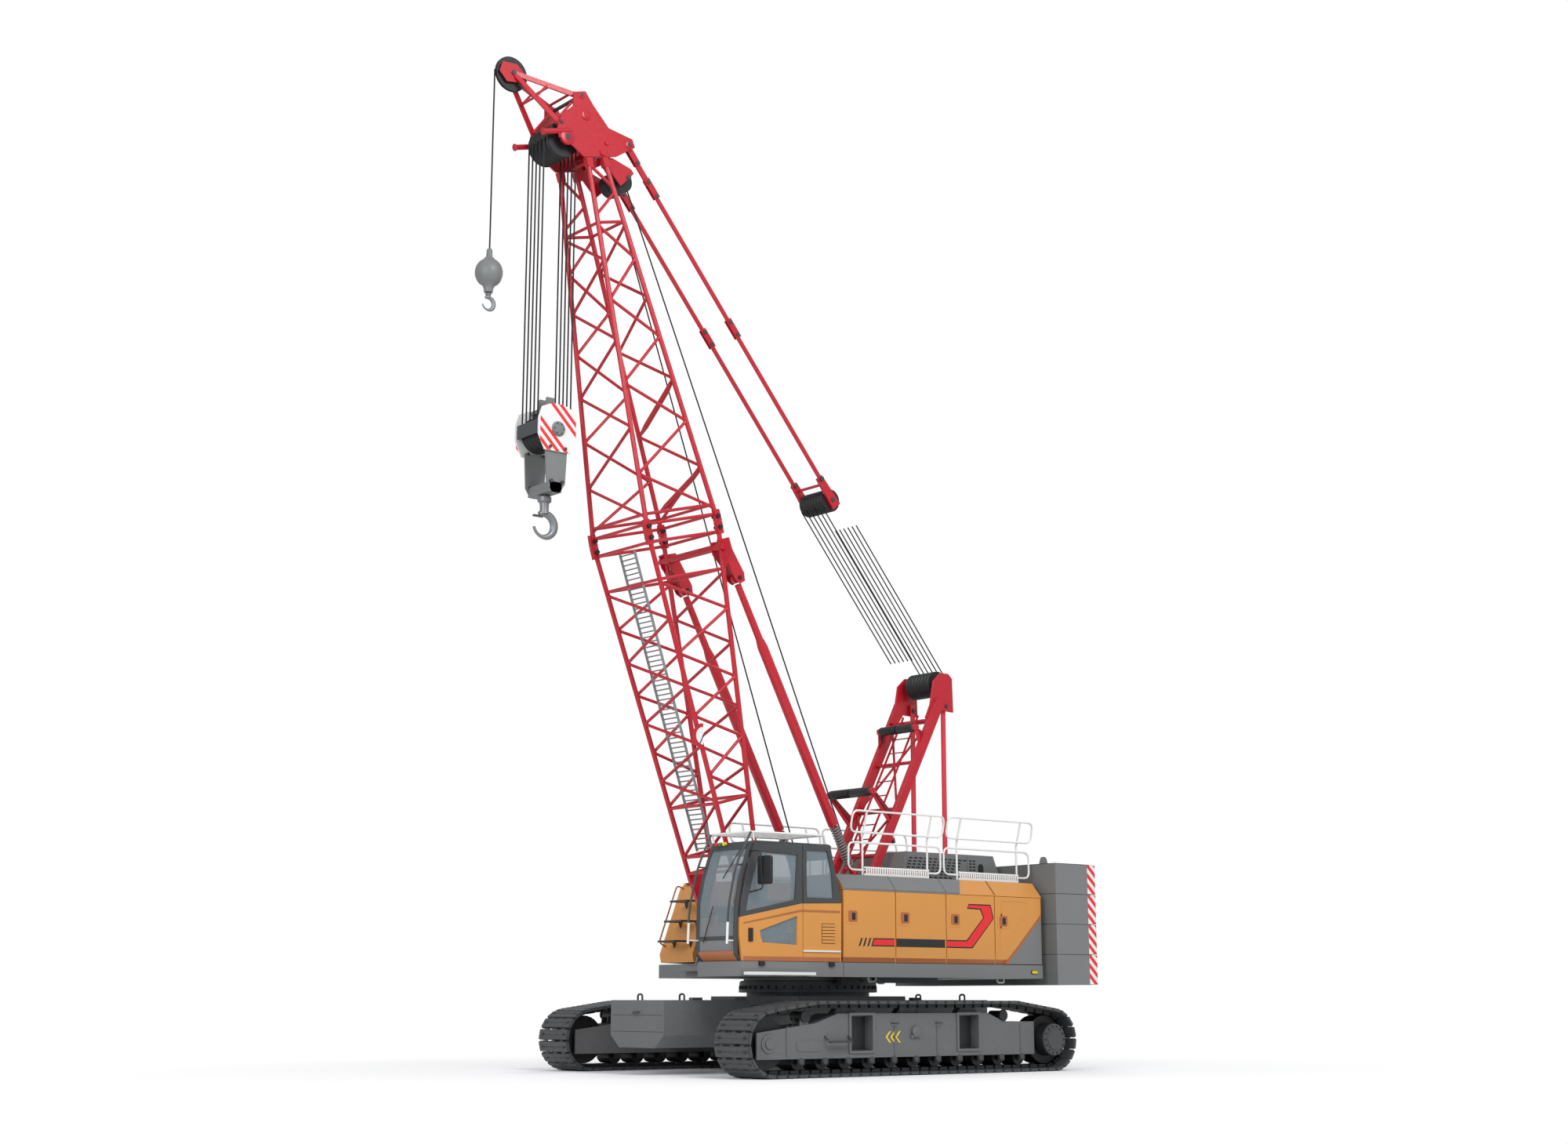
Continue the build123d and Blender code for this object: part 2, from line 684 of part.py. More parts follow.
with BuildPart() as boom_top:
    lattice(boom_joint_s + 60, boom_head_s - 15, boom_joint_s + frame_offset, boom_top_s, 8)
    pin_lugs(boom_joint_s + 90)
    depth, width = section_size(boom_head_s)
    for side in (-1, 1):
        for back in (-1, 1):
            with Locations(Plane(origin=on_boom(boom_head_s, side * width / 2, back * depth / 2),
                                 x_dir=(0, 1, 0), z_dir=(cos(t), 0, sin(t))).location):
                Box(110, 110, 30, align=(Align.CENTER, Align.CENTER, Align.MAX))
save(boom_top.part, "boom_top")

with BuildPart() as boom_head:
    for side in (-1, 1):
        with BuildSketch(boom_plane(side * 400 + 20)) as outline:
            with BuildLine():
                Polyline((boom_head_s + fit_gap, -300), (13000, -620), (13250, -780), (13420, -780),
                         (13900, 0), (13900, 300), (13000, 800),
                         (boom_head_s + fit_gap, 500), close=True)
            make_face()
        extrude(outline.sketch, amount=40)
    p = on_boom(head_s, 0, head_n)
    drum(p.X, p.Z, -400, 400, 50)
    q = on_boom(pendant_s, 0, pendant_n)
    drum(q.X, q.Z, -400, 400, 40)
    g = on_boom(guide_s, 0, guide_n)
    for side in (-1, 1):
        bar(on_boom(boom_head_s + 60, side * 395, 300), on_boom(guide_s, side * 395, guide_n), 70)
    drum(g.X, g.Z, -400, 400, 40)
    bar(on_boom(13500, -400, 0), on_boom(13500, 400, 0), 90)
save(boom_head.part, "boom_head")

with BuildPart() as head_sheaves:
    p = on_boom(head_s, 0, head_n)
    drum(p.X, p.Z, -300, 300, 290, sides=disc_sides)
    drum(p.X, p.Z, -320, 320, 50.3, mode=Mode.SUBTRACT)
save(head_sheaves.part, "head_sheaves")

with BuildPart() as guide_sheaves:
    for y in (-180, 180):
        drum(g.X, g.Z, y - 35, y + 35, 200, sides=disc_sides)
        drum(g.X, g.Z, y - 40, y + 40, 40.3, mode=Mode.SUBTRACT)
save(guide_sheaves.part, "guide_sheaves")

tip = on_boom(tip_s, 0, tip_n)
with BuildPart() as jib:
    for s, n in ((13850, 100), (13350, -740)):
        for side in (-1, 1):
            bar(on_boom(s, side * 350, n), on_boom(tip_s, side * 90, tip_n), 50)
        root = on_boom(s, 0, n)
        for side in (-1, 1):
            drum(root.X, root.Z, side * 325, side * (380 - fit_gap), 35)
    bar(*[on_boom(13905, side * 305, -50) for side in (-1, 1)], 40)
    drum(tip.X, tip.Z, -110, 110, 40)
save(jib.part, "aux_jib")

with BuildPart() as jib_sheave:
    drum(tip.X, tip.Z, -30, 30, 290, sides=disc_sides)
    drum(tip.X, tip.Z, -35, 35, 40.3, mode=Mode.SUBTRACT)
save(jib_sheave.part, "jib_sheave")

# Pendants and luffing falls
with BuildPart() as pendants:
    for side in (-1, 1):
        y = Vector(0, side * pendant_y, 0)
        flat(pin + y + luff_dir * 45, bridle_pin + y - luff_dir * 45, 70, 30)
        drum(pin.X, pin.Z, side * pendant_y - 20, side * pendant_y + 20, 85)
        drum(pin.X, pin.Z, side * pendant_y - 20, side * pendant_y + 20, 40.3, Mode.SUBTRACT)
save(pendants.part, "pendants")

with BuildPart() as bridle:
    for side in (-1, 1):
        y = Vector(0, side * pendant_y, 0)
        flat(bridle_pin + y - luff_dir * 44.7, bridle_axis + y + luff_dir * 120, 160, 30)
    drum(bridle_axis.X, bridle_axis.Z, -pendant_y, pendant_y, 40)
save(bridle.part, "bridle")

with BuildPart() as bridle_sheaves:
    drum(bridle_axis.X, bridle_axis.Z, -310, 310, 200, sides=disc_sides, corner=side_dir)
    drum(bridle_axis.X, bridle_axis.Z, -340, 340, 40.3, mode=Mode.SUBTRACT)
save(bridle_sheaves.part, "bridle_sheaves")

with BuildPart() as falls_upper:
    for i in range(6):
        y = Vector(0, -275 + i * 110, 0)
        bar(bridle_axis + y + side_dir * (200 + rope_dia / 2 + fit_gap),
            bridle_axis + y + luff_dir * falls_reach + side_dir * (200 + rope_dia / 2 + fit_gap),
            rope_dia, rope_sides)
save(falls_upper.part, "luffing_falls_upper")

with BuildPart() as falls_lower:
    g_axis = Vector(head_x, 0, head_z)
    for i in range(6):
        y = Vector(0, -275 + i * 110, 0)
        bar(g_axis + y - side_dir * (225 + rope_dia / 2 + fit_gap),
            g_axis + y - luff_dir * falls_reach - side_dir * (225 + rope_dia / 2 + fit_gap),
            rope_dia, rope_sides)
save(falls_lower.part, "luffing_falls_lower")

# Hook block
block_x = on_boom(head_s, 0, head_n).X
block_z = on_boom(head_s, 0, head_n).Z - fall_length
with BuildPart() as falls:
    p = on_boom(head_s, 0, head_n)
    for side in (-1, 1):
        for i in range(5):
            y = (i - 2) * sheave_pitch
            bar((block_x + side * (290 + rope_dia / 2 + fit_gap), y, block_z),
                (block_x + side * (290 + rope_dia / 2 + fit_gap), y, p.Z), rope_dia, rope_sides)
save(falls.part, "main_falls")

with BuildPart() as hook_block:
    for s in (-1, 1):
        plate([(block_x - 370, block_z - 150), (block_x - 370, block_z + 100),
               (block_x - 100, block_z + 350), (block_x + 100, block_z + 350),
               (block_x + 370, block_z + 100), (block_x + 370, block_z - 150),
               (block_x + 120, block_z - 1000), (block_x - 120, block_z - 1000)],
              s * 330 - 20, s * 330 + 20)
    drum(block_x, block_z, -330, 330, 50)
    block(block_x - 120, block_x + 120, -330, 330, block_z - 1000, block_z - 800)
save(hook_block.part, "hook_block")

with BuildPart() as block_sheaves:
    drum(block_x, block_z, -290, 290, 290, sides=disc_sides)
    drum(block_x, block_z, -295, 295, 50.3, mode=Mode.SUBTRACT)
save(block_sheaves.part, "block_sheaves")

with BuildPart() as main_hook:
    bar((block_x, 0, block_z - 1300), (block_x, 0, block_z - 1000.3), 120)
    with BuildSketch(Plane(origin=(block_x, 0, block_z - 1480), x_dir=(1, 0, 0),
                           z_dir=(0, -1, 0))):
        Circle(230)
        with Locations((0, 0)):
            Circle(120, mode=Mode.SUBTRACT)
    extrude(amount=50, both=True)
save(main_hook.part, "main_hook")

# Auxiliary line
line_x = tip.X + 290 + rope_dia / 2 + 0.3
ball_top = tip.Z - aux_length
with BuildPart() as aux_line:
    bar((line_x, 0, ball_top), (line_x, 0, tip.Z), rope_dia, rope_sides)
save(aux_line.part, "aux_line")
with BuildPart() as ball:
    bar((line_x, 0, ball_top - 720), (line_x, 0, ball_top - 0.3), 440, disc_sides)
save(ball.part, "aux_weight")
with BuildPart() as aux_hook:
    with BuildSketch(Plane(origin=(line_x, 0, ball_top - 900), x_dir=(1, 0, 0),
                           z_dir=(0, -1, 0))):
        Circle(130)
        Circle(70, mode=Mode.SUBTRACT)
    extrude(amount=30, both=True)
    bar((line_x, 0, ball_top - 800), (line_x, 0, ball_top - 720.3), 70)
save(aux_hook.part, "aux_hook")

# Backstops
stop_top = on_boom(5657, 0, 884)
stop_foot = Vector(stop_foot_x, 0, stop_foot_z)
stop_dir = (stop_top - stop_foot).normalized()
with BuildPart() as rods:
    for side in (-1, 1):
        y = Vector(0, side * stop_y, 0)
        bar(stop_foot + y, stop_foot + y + stop_dir * 5000, 90)
        drum(stop_foot.X, stop_foot.Z, side * stop_y - 45, side * stop_y + 45, 90)
        drum(stop_foot.X, stop_foot.Z, side * stop_y - 50, side * stop_y + 50, 30.3,
             Mode.SUBTRACT)
save(rods.part, "backstop_rods")
with BuildPart() as tubes:
    for side in (-1, 1):
        y = Vector(0, side * stop_y, 0)
        bar(stop_foot + y + stop_dir * 2100, stop_foot + y + stop_dir * 5500, 170)
        bar(stop_foot + y + stop_dir * 5450, stop_top + y, 110)
        bar(stop_foot + y + stop_dir * 2090, stop_foot + y + stop_dir * 5300, 90.6,
            mode=Mode.SUBTRACT)
save(tubes.part, "backstop_tubes")
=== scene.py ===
import math

import bmesh
import bpy
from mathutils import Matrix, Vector


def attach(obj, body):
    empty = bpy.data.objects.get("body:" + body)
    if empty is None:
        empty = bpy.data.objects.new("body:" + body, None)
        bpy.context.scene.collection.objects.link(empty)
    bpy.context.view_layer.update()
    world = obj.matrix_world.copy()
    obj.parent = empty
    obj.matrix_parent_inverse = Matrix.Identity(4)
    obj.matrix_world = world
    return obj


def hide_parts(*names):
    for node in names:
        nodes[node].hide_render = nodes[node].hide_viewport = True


# Crawler crane. Metres; +X forwards, +Y the machine's left (cab) side, +Z up.
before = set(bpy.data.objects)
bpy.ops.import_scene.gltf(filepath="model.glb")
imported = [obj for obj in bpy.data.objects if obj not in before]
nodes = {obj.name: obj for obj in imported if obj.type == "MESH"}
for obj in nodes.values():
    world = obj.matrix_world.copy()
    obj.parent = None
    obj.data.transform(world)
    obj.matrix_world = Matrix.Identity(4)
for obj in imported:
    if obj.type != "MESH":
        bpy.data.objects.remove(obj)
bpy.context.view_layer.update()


# Materials
def linear(r, g, b):
    """Linear colour from 0-255 screen values."""
    def channel(value):
        value /= 255
        return value / 12.92 if value <= 0.04045 else ((value + 0.055) / 1.055) ** 2.4
    return (channel(r), channel(g), channel(b), 1.0)


# Sockets of the Mix node that hold its colours, and the colour of dirt
MIX_A, MIX_B, MIX_RESULT = 6, 7, 2
GRIME = linear(58, 52, 46)


def add_node(tree, kind, values=()):
    """New shader node with its number and colour inputs set."""
    item = tree.nodes.new("ShaderNode" + kind)
    for key, value in dict(values).items():
        item.inputs[key].default_value = value
    return item


def material(name, colour, rough, metal=0.0, dirt=0.0, grain=18.0, bump=0.15, coat=0.0,
             spread=0.12):
    """Painted or cast surface: a base colour with soft patches, fine grain and uneven gloss."""
    mat = bpy.data.materials.new(name)
    mat.use_nodes = True
    tree = mat.node_tree
    link = tree.links.new
    shader = tree.nodes["Principled BSDF"]
    shader.inputs["Metallic"].default_value = metal
    shader.inputs["Coat Weight"].default_value = coat
    shader.inputs["Coat Roughness"].default_value = 0.12
    where = add_node(tree, "TexCoord")
    patches = add_node(tree, "TexNoise", {"Scale": 1.3, "Detail": 5.0})
    fine = add_node(tree, "TexNoise", {"Scale": grain, "Detail": 6.0})
    for noise in (patches, fine):
        link(where.outputs["Object"], noise.inputs["Vector"])
    low = tuple(c * (1 - spread) for c in colour[:3]) + (1.0,)
    high = tuple(min(c * (1 + spread), 1.0) for c in colour[:3]) + (1.0,)
    tint = add_node(tree, "Mix", {MIX_A: low, MIX_B: high})
    tint.data_type = "RGBA"
    link(patches.outputs["Fac"], tint.inputs[0])
    result = tint.outputs[MIX_RESULT]
    if dirt:
        grime = add_node(tree, "Mix", {MIX_B: GRIME})
        grime.data_type = "RGBA"
        ramp = add_node(tree, "MapRange", {"From Min": 0.52, "From Max": 0.78, "To Max": dirt})
        link(fine.outputs["Fac"], ramp.inputs["Value"])
        link(ramp.outputs["Result"], grime.inputs[0])
        link(result, grime.inputs[MIX_A])
        result = grime.outputs[MIX_RESULT]
    link(result, shader.inputs["Base Color"])
    gloss = add_node(tree, "MapRange", {"From Min": 0.3, "From Max": 0.7,
                                        "To Min": max(rough - 0.06, 0.03), "To Max": rough + 0.08})
    link(fine.outputs["Fac"], gloss.inputs["Value"])
    link(gloss.outputs["Result"], shader.inputs["Roughness"])
    if bump:
        relief = add_node(tree, "Bump", {"Strength": bump, "Distance": 0.002})
        link(fine.outputs["Fac"], relief.inputs["Height"])
        link(relief.outputs["Normal"], shader.inputs["Normal"])
    return mat


red = material("boom_red", linear(182, 17, 36), 0.36, coat=0.15, bump=0.05, spread=0.08)
# Lighter copy of the boom red: painted light for the lit plates of the gantry links
painted_light_red = material("painted_light_link_red", linear(214, 52, 66), 0.4, bump=0.04, spread=0.05)
# Darker copy of the boom red: painted shade
painted_shade_red = material("shade_red", linear(120, 14, 28), 0.45, bump=0.05)
ochre = material("house_ochre", linear(208, 142, 66), 0.38, coat=0.2, bump=0.04, spread=0.05)
# Darker copy of the house ochre: painted shade
painted_shade_ochre = material("ochre_shade", linear(166, 98, 54), 0.42, coat=0.1, bump=0.04)
grey = material("frame_grey", linear(116, 118, 118), 0.45, bump=0.06, spread=0.06)
under_grey = material("undercarriage_grey", linear(98, 99, 100), 0.5, dirt=0.12, bump=0.12)
dark = material("dark_grey", linear(62, 64, 66), 0.42, bump=0.06)
black = material("black_parts", linear(26, 27, 29), 0.5, bump=0.1)
shoe_steel = material("shoe_steel", linear(74, 76, 78), 0.5, metal=0.3, dirt=0.3, bump=0.35)
hook_steel = material("hook_steel", linear(128, 130, 132), 0.42, metal=0.5, bump=0.2)
rope = material("wire_rope", linear(34, 34, 37), 0.55, metal=0.4, grain=60, bump=0.3)
white = material("white_paint", linear(226, 226, 224), 0.4, bump=0.03, spread=0.03)
stripe_red = material("stripe_red", linear(224, 36, 40), 0.4, bump=0.03, spread=0.03)
yellow = material("marking_yellow", linear(232, 196, 30), 0.45, bump=0.05)
green = material("marking_green", linear(40, 130, 70), 0.45, bump=0.05)
cloth = material("seat_cloth", linear(46, 47, 50), 0.85, grain=300, bump=0.5)
mesh_grey = material("walkway_grey", linear(140, 142, 144), 0.5, metal=0.3, bump=0.1)

glass = bpy.data.materials.new("cab_glass")
glass.use_nodes = True
shader = glass.node_tree.nodes["Principled BSDF"]
smear = add_node(glass.node_tree, "TexNoise", {"Scale": 3.0})
smear_range = add_node(glass.node_tree, "MapRange", {"To Min": 0.02, "To Max": 0.09})
glass.node_tree.links.new(smear.outputs["Fac"], smear_range.inputs["Value"])
glass.node_tree.links.new(smear_range.outputs["Result"], shader.inputs["Roughness"])
shader.inputs["Base Color"].default_value = linear(150, 164, 172)
shader.inputs["IOR"].default_value = 1.45
shader.inputs["Alpha"].default_value = 0.38

node_materials = {
    red: ["boom_base", "boom_top", "boom_head", "aux_jib", "pendants", "bridle", "gantry",
          "backstop_rods", "backstop_tubes"],
    painted_light_red: ["gantry_links"],
    ochre: ["house_left", "house_right", "step_box", "cab_door"]
           + [n for n in nodes if n.startswith("house_door")],
    grey: ["turntable", "engine_hood", "counterweight", "hook_block", "aux_weight"],
    under_grey: ["carbody", "carbody_weights", "side_frame_left", "side_frame_right"],
    dark: ["slew_ring", "cab_shell", "engine", "luffing_drum", "main_drum", "aux_drum"],
    black: ["head_sheaves", "guide_sheaves", "jib_sheave", "bridle_sheaves", "gantry_sheaves",
            "block_sheaves", "running_gear_left", "running_gear_right"],
    shoe_steel: ["track_left", "track_right"],
    hook_steel: ["main_hook", "aux_hook"],
    rope: ["main_falls", "aux_line", "luffing_falls_upper", "luffing_falls_lower"],
    cloth: ["operator_seat"],
    glass: ["cab_glass"],
}
for mat, names in node_materials.items():
    for name in names:
        data = nodes[name].data
        data.materials.clear()
        data.materials.append(mat)
        data.polygons.foreach_set("use_smooth", [True] * len(data.polygons))
        data.set_sharp_from_angle(angle=math.radians(50))
for name in ("counterweight", "carbody_weights", "carbody", "turntable", "engine_hood",
             "side_frame_left", "side_frame_right"):
    softened = nodes[name].modifiers.new("edges", "BEVEL")
    softened.width = 0.007
    softened.limit_method = "ANGLE"
    softened.angle_limit = math.radians(50)


# Shapes
def add_object(name, data):
    item = bpy.data.objects.new(name, data)
    bpy.context.collection.objects.link(item)
    return item


def across(y):
    """Offset across the machine."""
    return Vector((0, y, 0))


class Piece:
    """One mesh gathered from bars, plates and turned parts, each in its own material."""

    def __init__(self, name, body, slot, *replaced, bevel=0.0):
        self.name, self.body, self.slot = name, body, slot
        self.replaced, self.bevel = replaced, bevel
        self.points, self.faces, self.looks, self.mats = [], [], [], []

    def add(self, points, faces, mat):
        base = len(self.points)
        self.points += [tuple(p) for p in points]
        self.faces += [[base + i for i in face] for face in faces]
        if mat not in self.mats:
            self.mats.append(mat)
        self.looks += [self.mats.index(mat)] * len(faces)

    def prism(self, loop, shift, mat):
        """Solid between a loop of points and the same loop moved by shift."""
        loop = [Vector(p) for p in loop]
        n = len(loop)
        other = [p + Vector(shift) for p in loop]
        sides = [[i, (i + 1) % n, n + (i + 1) % n, n + i] for i in range(n)]
        self.add(loop + other, [list(range(n))[::-1], list(range(n, 2 * n))] + sides, mat)

    def plate(self, outline, y0, y1, mat):
        """Plate with its outline in the side view, (x, z), from y0 to y1."""
        self.prism([(x, y0, z) for x, z in outline], (0, y1 - y0, 0), mat)

    def window(self, outer, inner, y0, y1, mat):
        """Plate from y0 to y1 with an opening; both outlines have the same number of points."""
        n = len(outer)
        points = [(x, y, z) for y in (y0, y1) for loop in (outer, inner) for x, z in loop]
        faces = []
        for i in range(n):
            j = (i + 1) % n
            faces += [[i, j, n + j, n + i], [2 * n + i, 3 * n + i, 3 * n + j, 2 * n + j],
                      [i, 2 * n + i, 2 * n + j, j], [n + i, n + j, 3 * n + j, 3 * n + i]]
        self.add(points, faces, mat)

    def box(self, x0, x1, y0, y1, z0, z1, mat):
        self.plate([(x0, z0), (x1, z0), (x1, z1), (x0, z1)], y0, y1, mat)

    def turn(self, centre, axis, profile, mat, sides=24):
        """Turned part: profile is (along the axis, radius), closed at both ends."""
        centre, axis = Vector(centre), Vector(axis).normalized()
        u = axis.orthogonal().normalized()
        v = axis.cross(u)
        points, faces = [], []
        for along, radius in profile:
            for i in range(sides):
                a = 2 * math.pi * i / sides
                points.append(centre + axis * along + (u * math.cos(a) + v * math.sin(a)) * radius)
        for k in range(len(profile) - 1):
            for i in range(sides):
                j = (i + 1) % sides
                faces.append([k * sides + i, k * sides + j, (k + 1) * sides + j,
                              (k + 1) * sides + i])
        last = (len(profile) - 1) * sides
        faces += [list(range(sides))[::-1], list(range(last, last + sides))]
        self.add(points, faces, mat)

    def bar(self, p, q, radius, mat, sides=12, end=None):
        p, q = Vector(p), Vector(q)
        self.turn(p, q - p, [(0, radius), ((q - p).length, end or radius)], mat, sides)

    def pin(self, centre, half, radius, mat, sides=12):
        """Round bar across the machine, half to each side of its centre."""
        self.bar(Vector(centre) - across(half), Vector(centre) + across(half), radius, mat, sides)

    def beam(self, p, q, width, thick, mat, up=(0, 1, 0), end=None):
        """Flat or box bar; its thickness lies along up, and its width may taper."""
        p, q = Vector(p), Vector(q)
        run = (q - p).normalized()
        side = Vector(up).cross(run).normalized()
        flat = run.cross(side) * thick / 2
        end = end or width
        points = []
        for spot, w in ((p, width), (q, end)):
            points += [spot + side * w / 2 * a + flat * b
                       for a, b in ((-1, -1), (1, -1), (1, 1), (-1, 1))]
        self.add(points, [[3, 2, 1, 0], [4, 5, 6, 7]]
                 + [[i, (i + 1) % 4, 4 + (i + 1) % 4, 4 + i] for i in range(4)], mat)

    def pipe(self, route, radius, mat, sides=8, closed=False):
        """Tube along a route, with mitred bends."""
        route = [Vector(p) for p in route]
        n = len(route)
        points, faces, u = [], [], None
        for i, p in enumerate(route):
            ahead = route[(i + 1) % n] if closed or i < n - 1 else p
            behind = route[i - 1] if closed or i else p
            run = ((ahead - p).normalized() + (p - behind).normalized()).normalized()
            u = run.orthogonal() if u is None else u - run * u.dot(run)
            u.normalize()
            v = run.cross(u)
            points += [p + (u * math.cos(2 * math.pi * k / sides)
                            + v * math.sin(2 * math.pi * k / sides)) * radius
                       for k in range(sides)]
        for i in range(n if closed else n - 1):
            a, b = i * sides, (i + 1) % n * sides
            faces += [[a + k, a + (k + 1) % sides, b + (k + 1) % sides, b + k]
                      for k in range(sides)]
        if not closed:
            faces += [list(range(sides))[::-1], list(range((n - 1) * sides, n * sides))]
        self.add(points, faces, mat)

    def done(self):
        data = bpy.data.meshes.new(self.name)
        data.from_pydata(self.points, [], self.faces)
        for mat in self.mats:
            data.materials.append(mat)
        data.polygons.foreach_set("material_index", self.looks)
        shape = bmesh.new()
        shape.from_mesh(data)
        bmesh.ops.recalc_face_normals(shape, faces=shape.faces)
        shape.to_mesh(data)
        shape.free()
        data.polygons.foreach_set("use_smooth", [True] * len(data.polygons))
        data.set_sharp_from_angle(angle=math.radians(40))
        item = add_object(self.name, data)
        if self.bevel:
            edges = item.modifiers.new("edges", "BEVEL")
            edges.width = self.bevel
            edges.limit_method = "ANGLE"
            edges.angle_limit = math.radians(40)
        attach(item, self.body)
        if self.replaced:
            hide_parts(*self.replaced)
        return item


def rounded(route, radius, steps=4, closed=False):
    """Route with its corners rounded off."""
    route = [Vector(p) for p in route]
    n = len(route)
    result = []
    for i, p in enumerate(route):
        if not closed and i in (0, n - 1):
            result.append(p)
            continue
        a, b = route[i - 1], route[(i + 1) % n]
        back, ahead = (a - p), (b - p)
        cut = min(radius, back.length / 2, ahead.length / 2)
        start, end = p + back.normalized() * cut, p + ahead.normalized() * cut
        for k in range(steps + 1):
            f = k / steps
            result.append(start * (1 - f) ** 2 + p * 2 * f * (1 - f) + end * f ** 2)
    return result


def clip(outline, low, high):
    """Part of a convex outline between two values of x."""
    for limit, sign in ((low, 1), (high, -1)):
        kept = []
        for i, (x, z) in enumerate(outline):
            px, pz = outline[i - 1]
            inside, was = sign * (x - limit) >= 0, sign * (px - limit) >= 0
            if inside != was:
                f = (limit - px) / (x - px)
                kept.append((limit, pz + (z - pz) * f))
            if inside:
                kept.append((x, z))
        outline = kept
    return outline


# Boom frame: s along the boom from its foot pin, n towards its back
BOOM_ANGLE = math.radians(75.15)
FOOT_X, FOOT_Z, FOOT_Y = 1.515, 2.14, 0.57
JOINT_S, TOP_S, HEAD_S, FRAME_S = 6.61, 11.68, 12.76, 0.9
# Pins as (s, y, n): head sheaves, guide sheaves, pendants and jib tip
SHEAVE_PIN, GUIDE_PIN = (13.1, 0, -0.5), (12.44, 0, 0.61)
PENDANT_PIN, JIB_TIP = (12.97, 0, 0.71), (14.26, 0, -1.04)
# Jib feet as (s, n); upper pins of the backstops; distances from the middle plane
JIB_FEET = ((13.79, -0.06), (13.35, -0.56))
STOP_S, STOP_N, STOP_Y = 5.657, 0.884, 0.7
HEAD_Y, PENDANT_Y, LEG_Y = 0.42, 0.35, 0.52
CHORD_R, BRACE_R = 0.04, 0.026


def B(s, y, n):
    """Point in the boom's own directions."""
    c, k = math.cos(BOOM_ANGLE), math.sin(BOOM_ANGLE)
    return Vector((FOOT_X + s * c - n * k, y, FOOT_Z + s * k + n * c))


def chord(s, side, back):
    """Point on a main chord; side is -1 or 1 across, back is -1 (front) or 1 (rear)."""
    if s <= JOINT_S:
        depth = 1.434 - 0.17 * (JOINT_S - s)
        width = 1.16 + 0.34 * (s - FRAME_S) / (JOINT_S - FRAME_S)
    else:
        f = (s - JOINT_S) / (TOP_S - JOINT_S)
        depth, width = 1.434 - 0.914 * f, 1.5 - 0.576 * f
    return B(s, side * width / 2, back * depth / 2)


def boom_plate(piece, outline, y0, y1, mat):
    """Plate with its outline in the boom's side view."""
    piece.prism([B(s, y0, n) for s, n in outline], (0, y1 - y0, 0), mat)


# Faces: chords that carry the A and the B stations
FACES = (((1, -1), (1, 1)), ((1, 1), (-1, 1)), ((-1, 1), (-1, -1)), ((-1, -1), (1, -1)))


def zigzag(piece, stations_a, stations_b, radius=BRACE_R):
    """Bracing of the four faces, from each A station to the B stations beside it."""
    for (a_side, a_back), (b_side, b_back) in FACES:
        route = sorted([(s, a_side, a_back) for s in stations_a]
                       + [(s, b_side, b_back) for s in stations_b])
        for p, q in zip(route, route[1:]):
            piece.bar(chord(*p), chord(*q), radius, red, 10)
            for spot, other in ((chord(*p), chord(*q)), (chord(*q), chord(*p))):
                run = (other - spot).normalized()
                piece.bar(spot + run * 0.03, spot + run * 0.085, radius + 0.006, red, 10,
                          end=radius)


def cross_frame(piece, s, radius=BRACE_R):
    """Square of braces between the four chords at s."""
    for (a_side, a_back), (b_side, b_back) in FACES:
        piece.bar(chord(s, a_side, a_back), chord(s, b_side, b_back), radius, red, 10)


along = Vector((math.cos(BOOM_ANGLE), 0, math.sin(BOOM_ANGLE)))
base = Piece("boom_base_frame", "boom", "red_paint", "boom_base")
for side in (-1, 1):
    for back in (-1, 1):
        base.bar(chord(0.95, side, back), chord(JOINT_S - 0.06, side, back), CHORD_R, red, 16)
        joint = chord(JOINT_S, side, back)
        base.beam(joint - along * 0.2, joint - along * 0.002, 0.11, 0.07, red, end=0.13)
        base.pin(chord(JOINT_S - 0.09, side, back), 0.085, 0.035, black)
    y = side * FOOT_Y
    boom_plate(base, [(-0.09, -0.06), (0.1, -0.14), (1.0, -0.26), (1.1, -0.225), (1.1, 0.225),
                      (1.0, 0.26), (0.1, 0.14), (-0.09, 0.06), (-0.11, 0)],
               y - 0.035, y + 0.035, red)
    base.pin(B(0, y, 0), 0.04, 0.12, red, 24)
    base.pin(B(0, y, 0), 0.1, 0.05, black, 20)
    # Backstop bracket: two ears a side on the rear cross tube, with a wing outwards
    for ear in (side * STOP_Y - 0.115, side * STOP_Y + 0.095):
        boom_plate(base, [(6.3, 0.6), (6.3, 0.79), (5.72, 0.995), (5.59, 0.98), (5.56, 0.88),
                          (5.63, 0.8), (5.9, 0.72), (6.1, 0.6)], ear, ear + 0.02, red)
    base.pin(B(STOP_S, side * STOP_Y, STOP_N), 0.13, 0.035, black)
    base.prism([B(6.32, side * 0.74, 0.62), B(6.32, side * 0.95, 0.7), B(6.1, side * 0.95, 0.72),
                B(5.85, side * 0.76, 0.66)], along.cross(across(1)) * 0.02, red)
base.pin(B(6.2, 0, 0.66), 0.86, 0.06, red, 20)
zigzag(base, (5.79, 4.65, 3.63, 2.66), (5.21, 4.11, 3.15, 2.24))
for s in (1.1, 1.376, 2.2, 5.85, 6.45):
    cross_frame(base, s)
for back in (-1, 1):
    base.bar(chord(1.376, -1, back), chord(2.2, 1, back), BRACE_R, red, 10)
base.done()

walkway = Piece("boom_walkway", "boom", "grey_paint")
for side in (-1, 1):
    walkway.beam(B(1.45, side * 0.2 - 0.1, -0.2), B(6.4, side * 0.2 - 0.1, -0.56), 0.05, 0.006,
                 mesh_grey)
for i in range(62):
    f = (i + 0.5) / 62
    p = B(1.45 + 4.95 * f, 0, -0.2 - 0.36 * f)
    walkway.beam(p + across(-0.3), p + across(0.1), 0.022, 0.008, mesh_grey,
                 up=(1, 0, 0.3))
walkway.done()

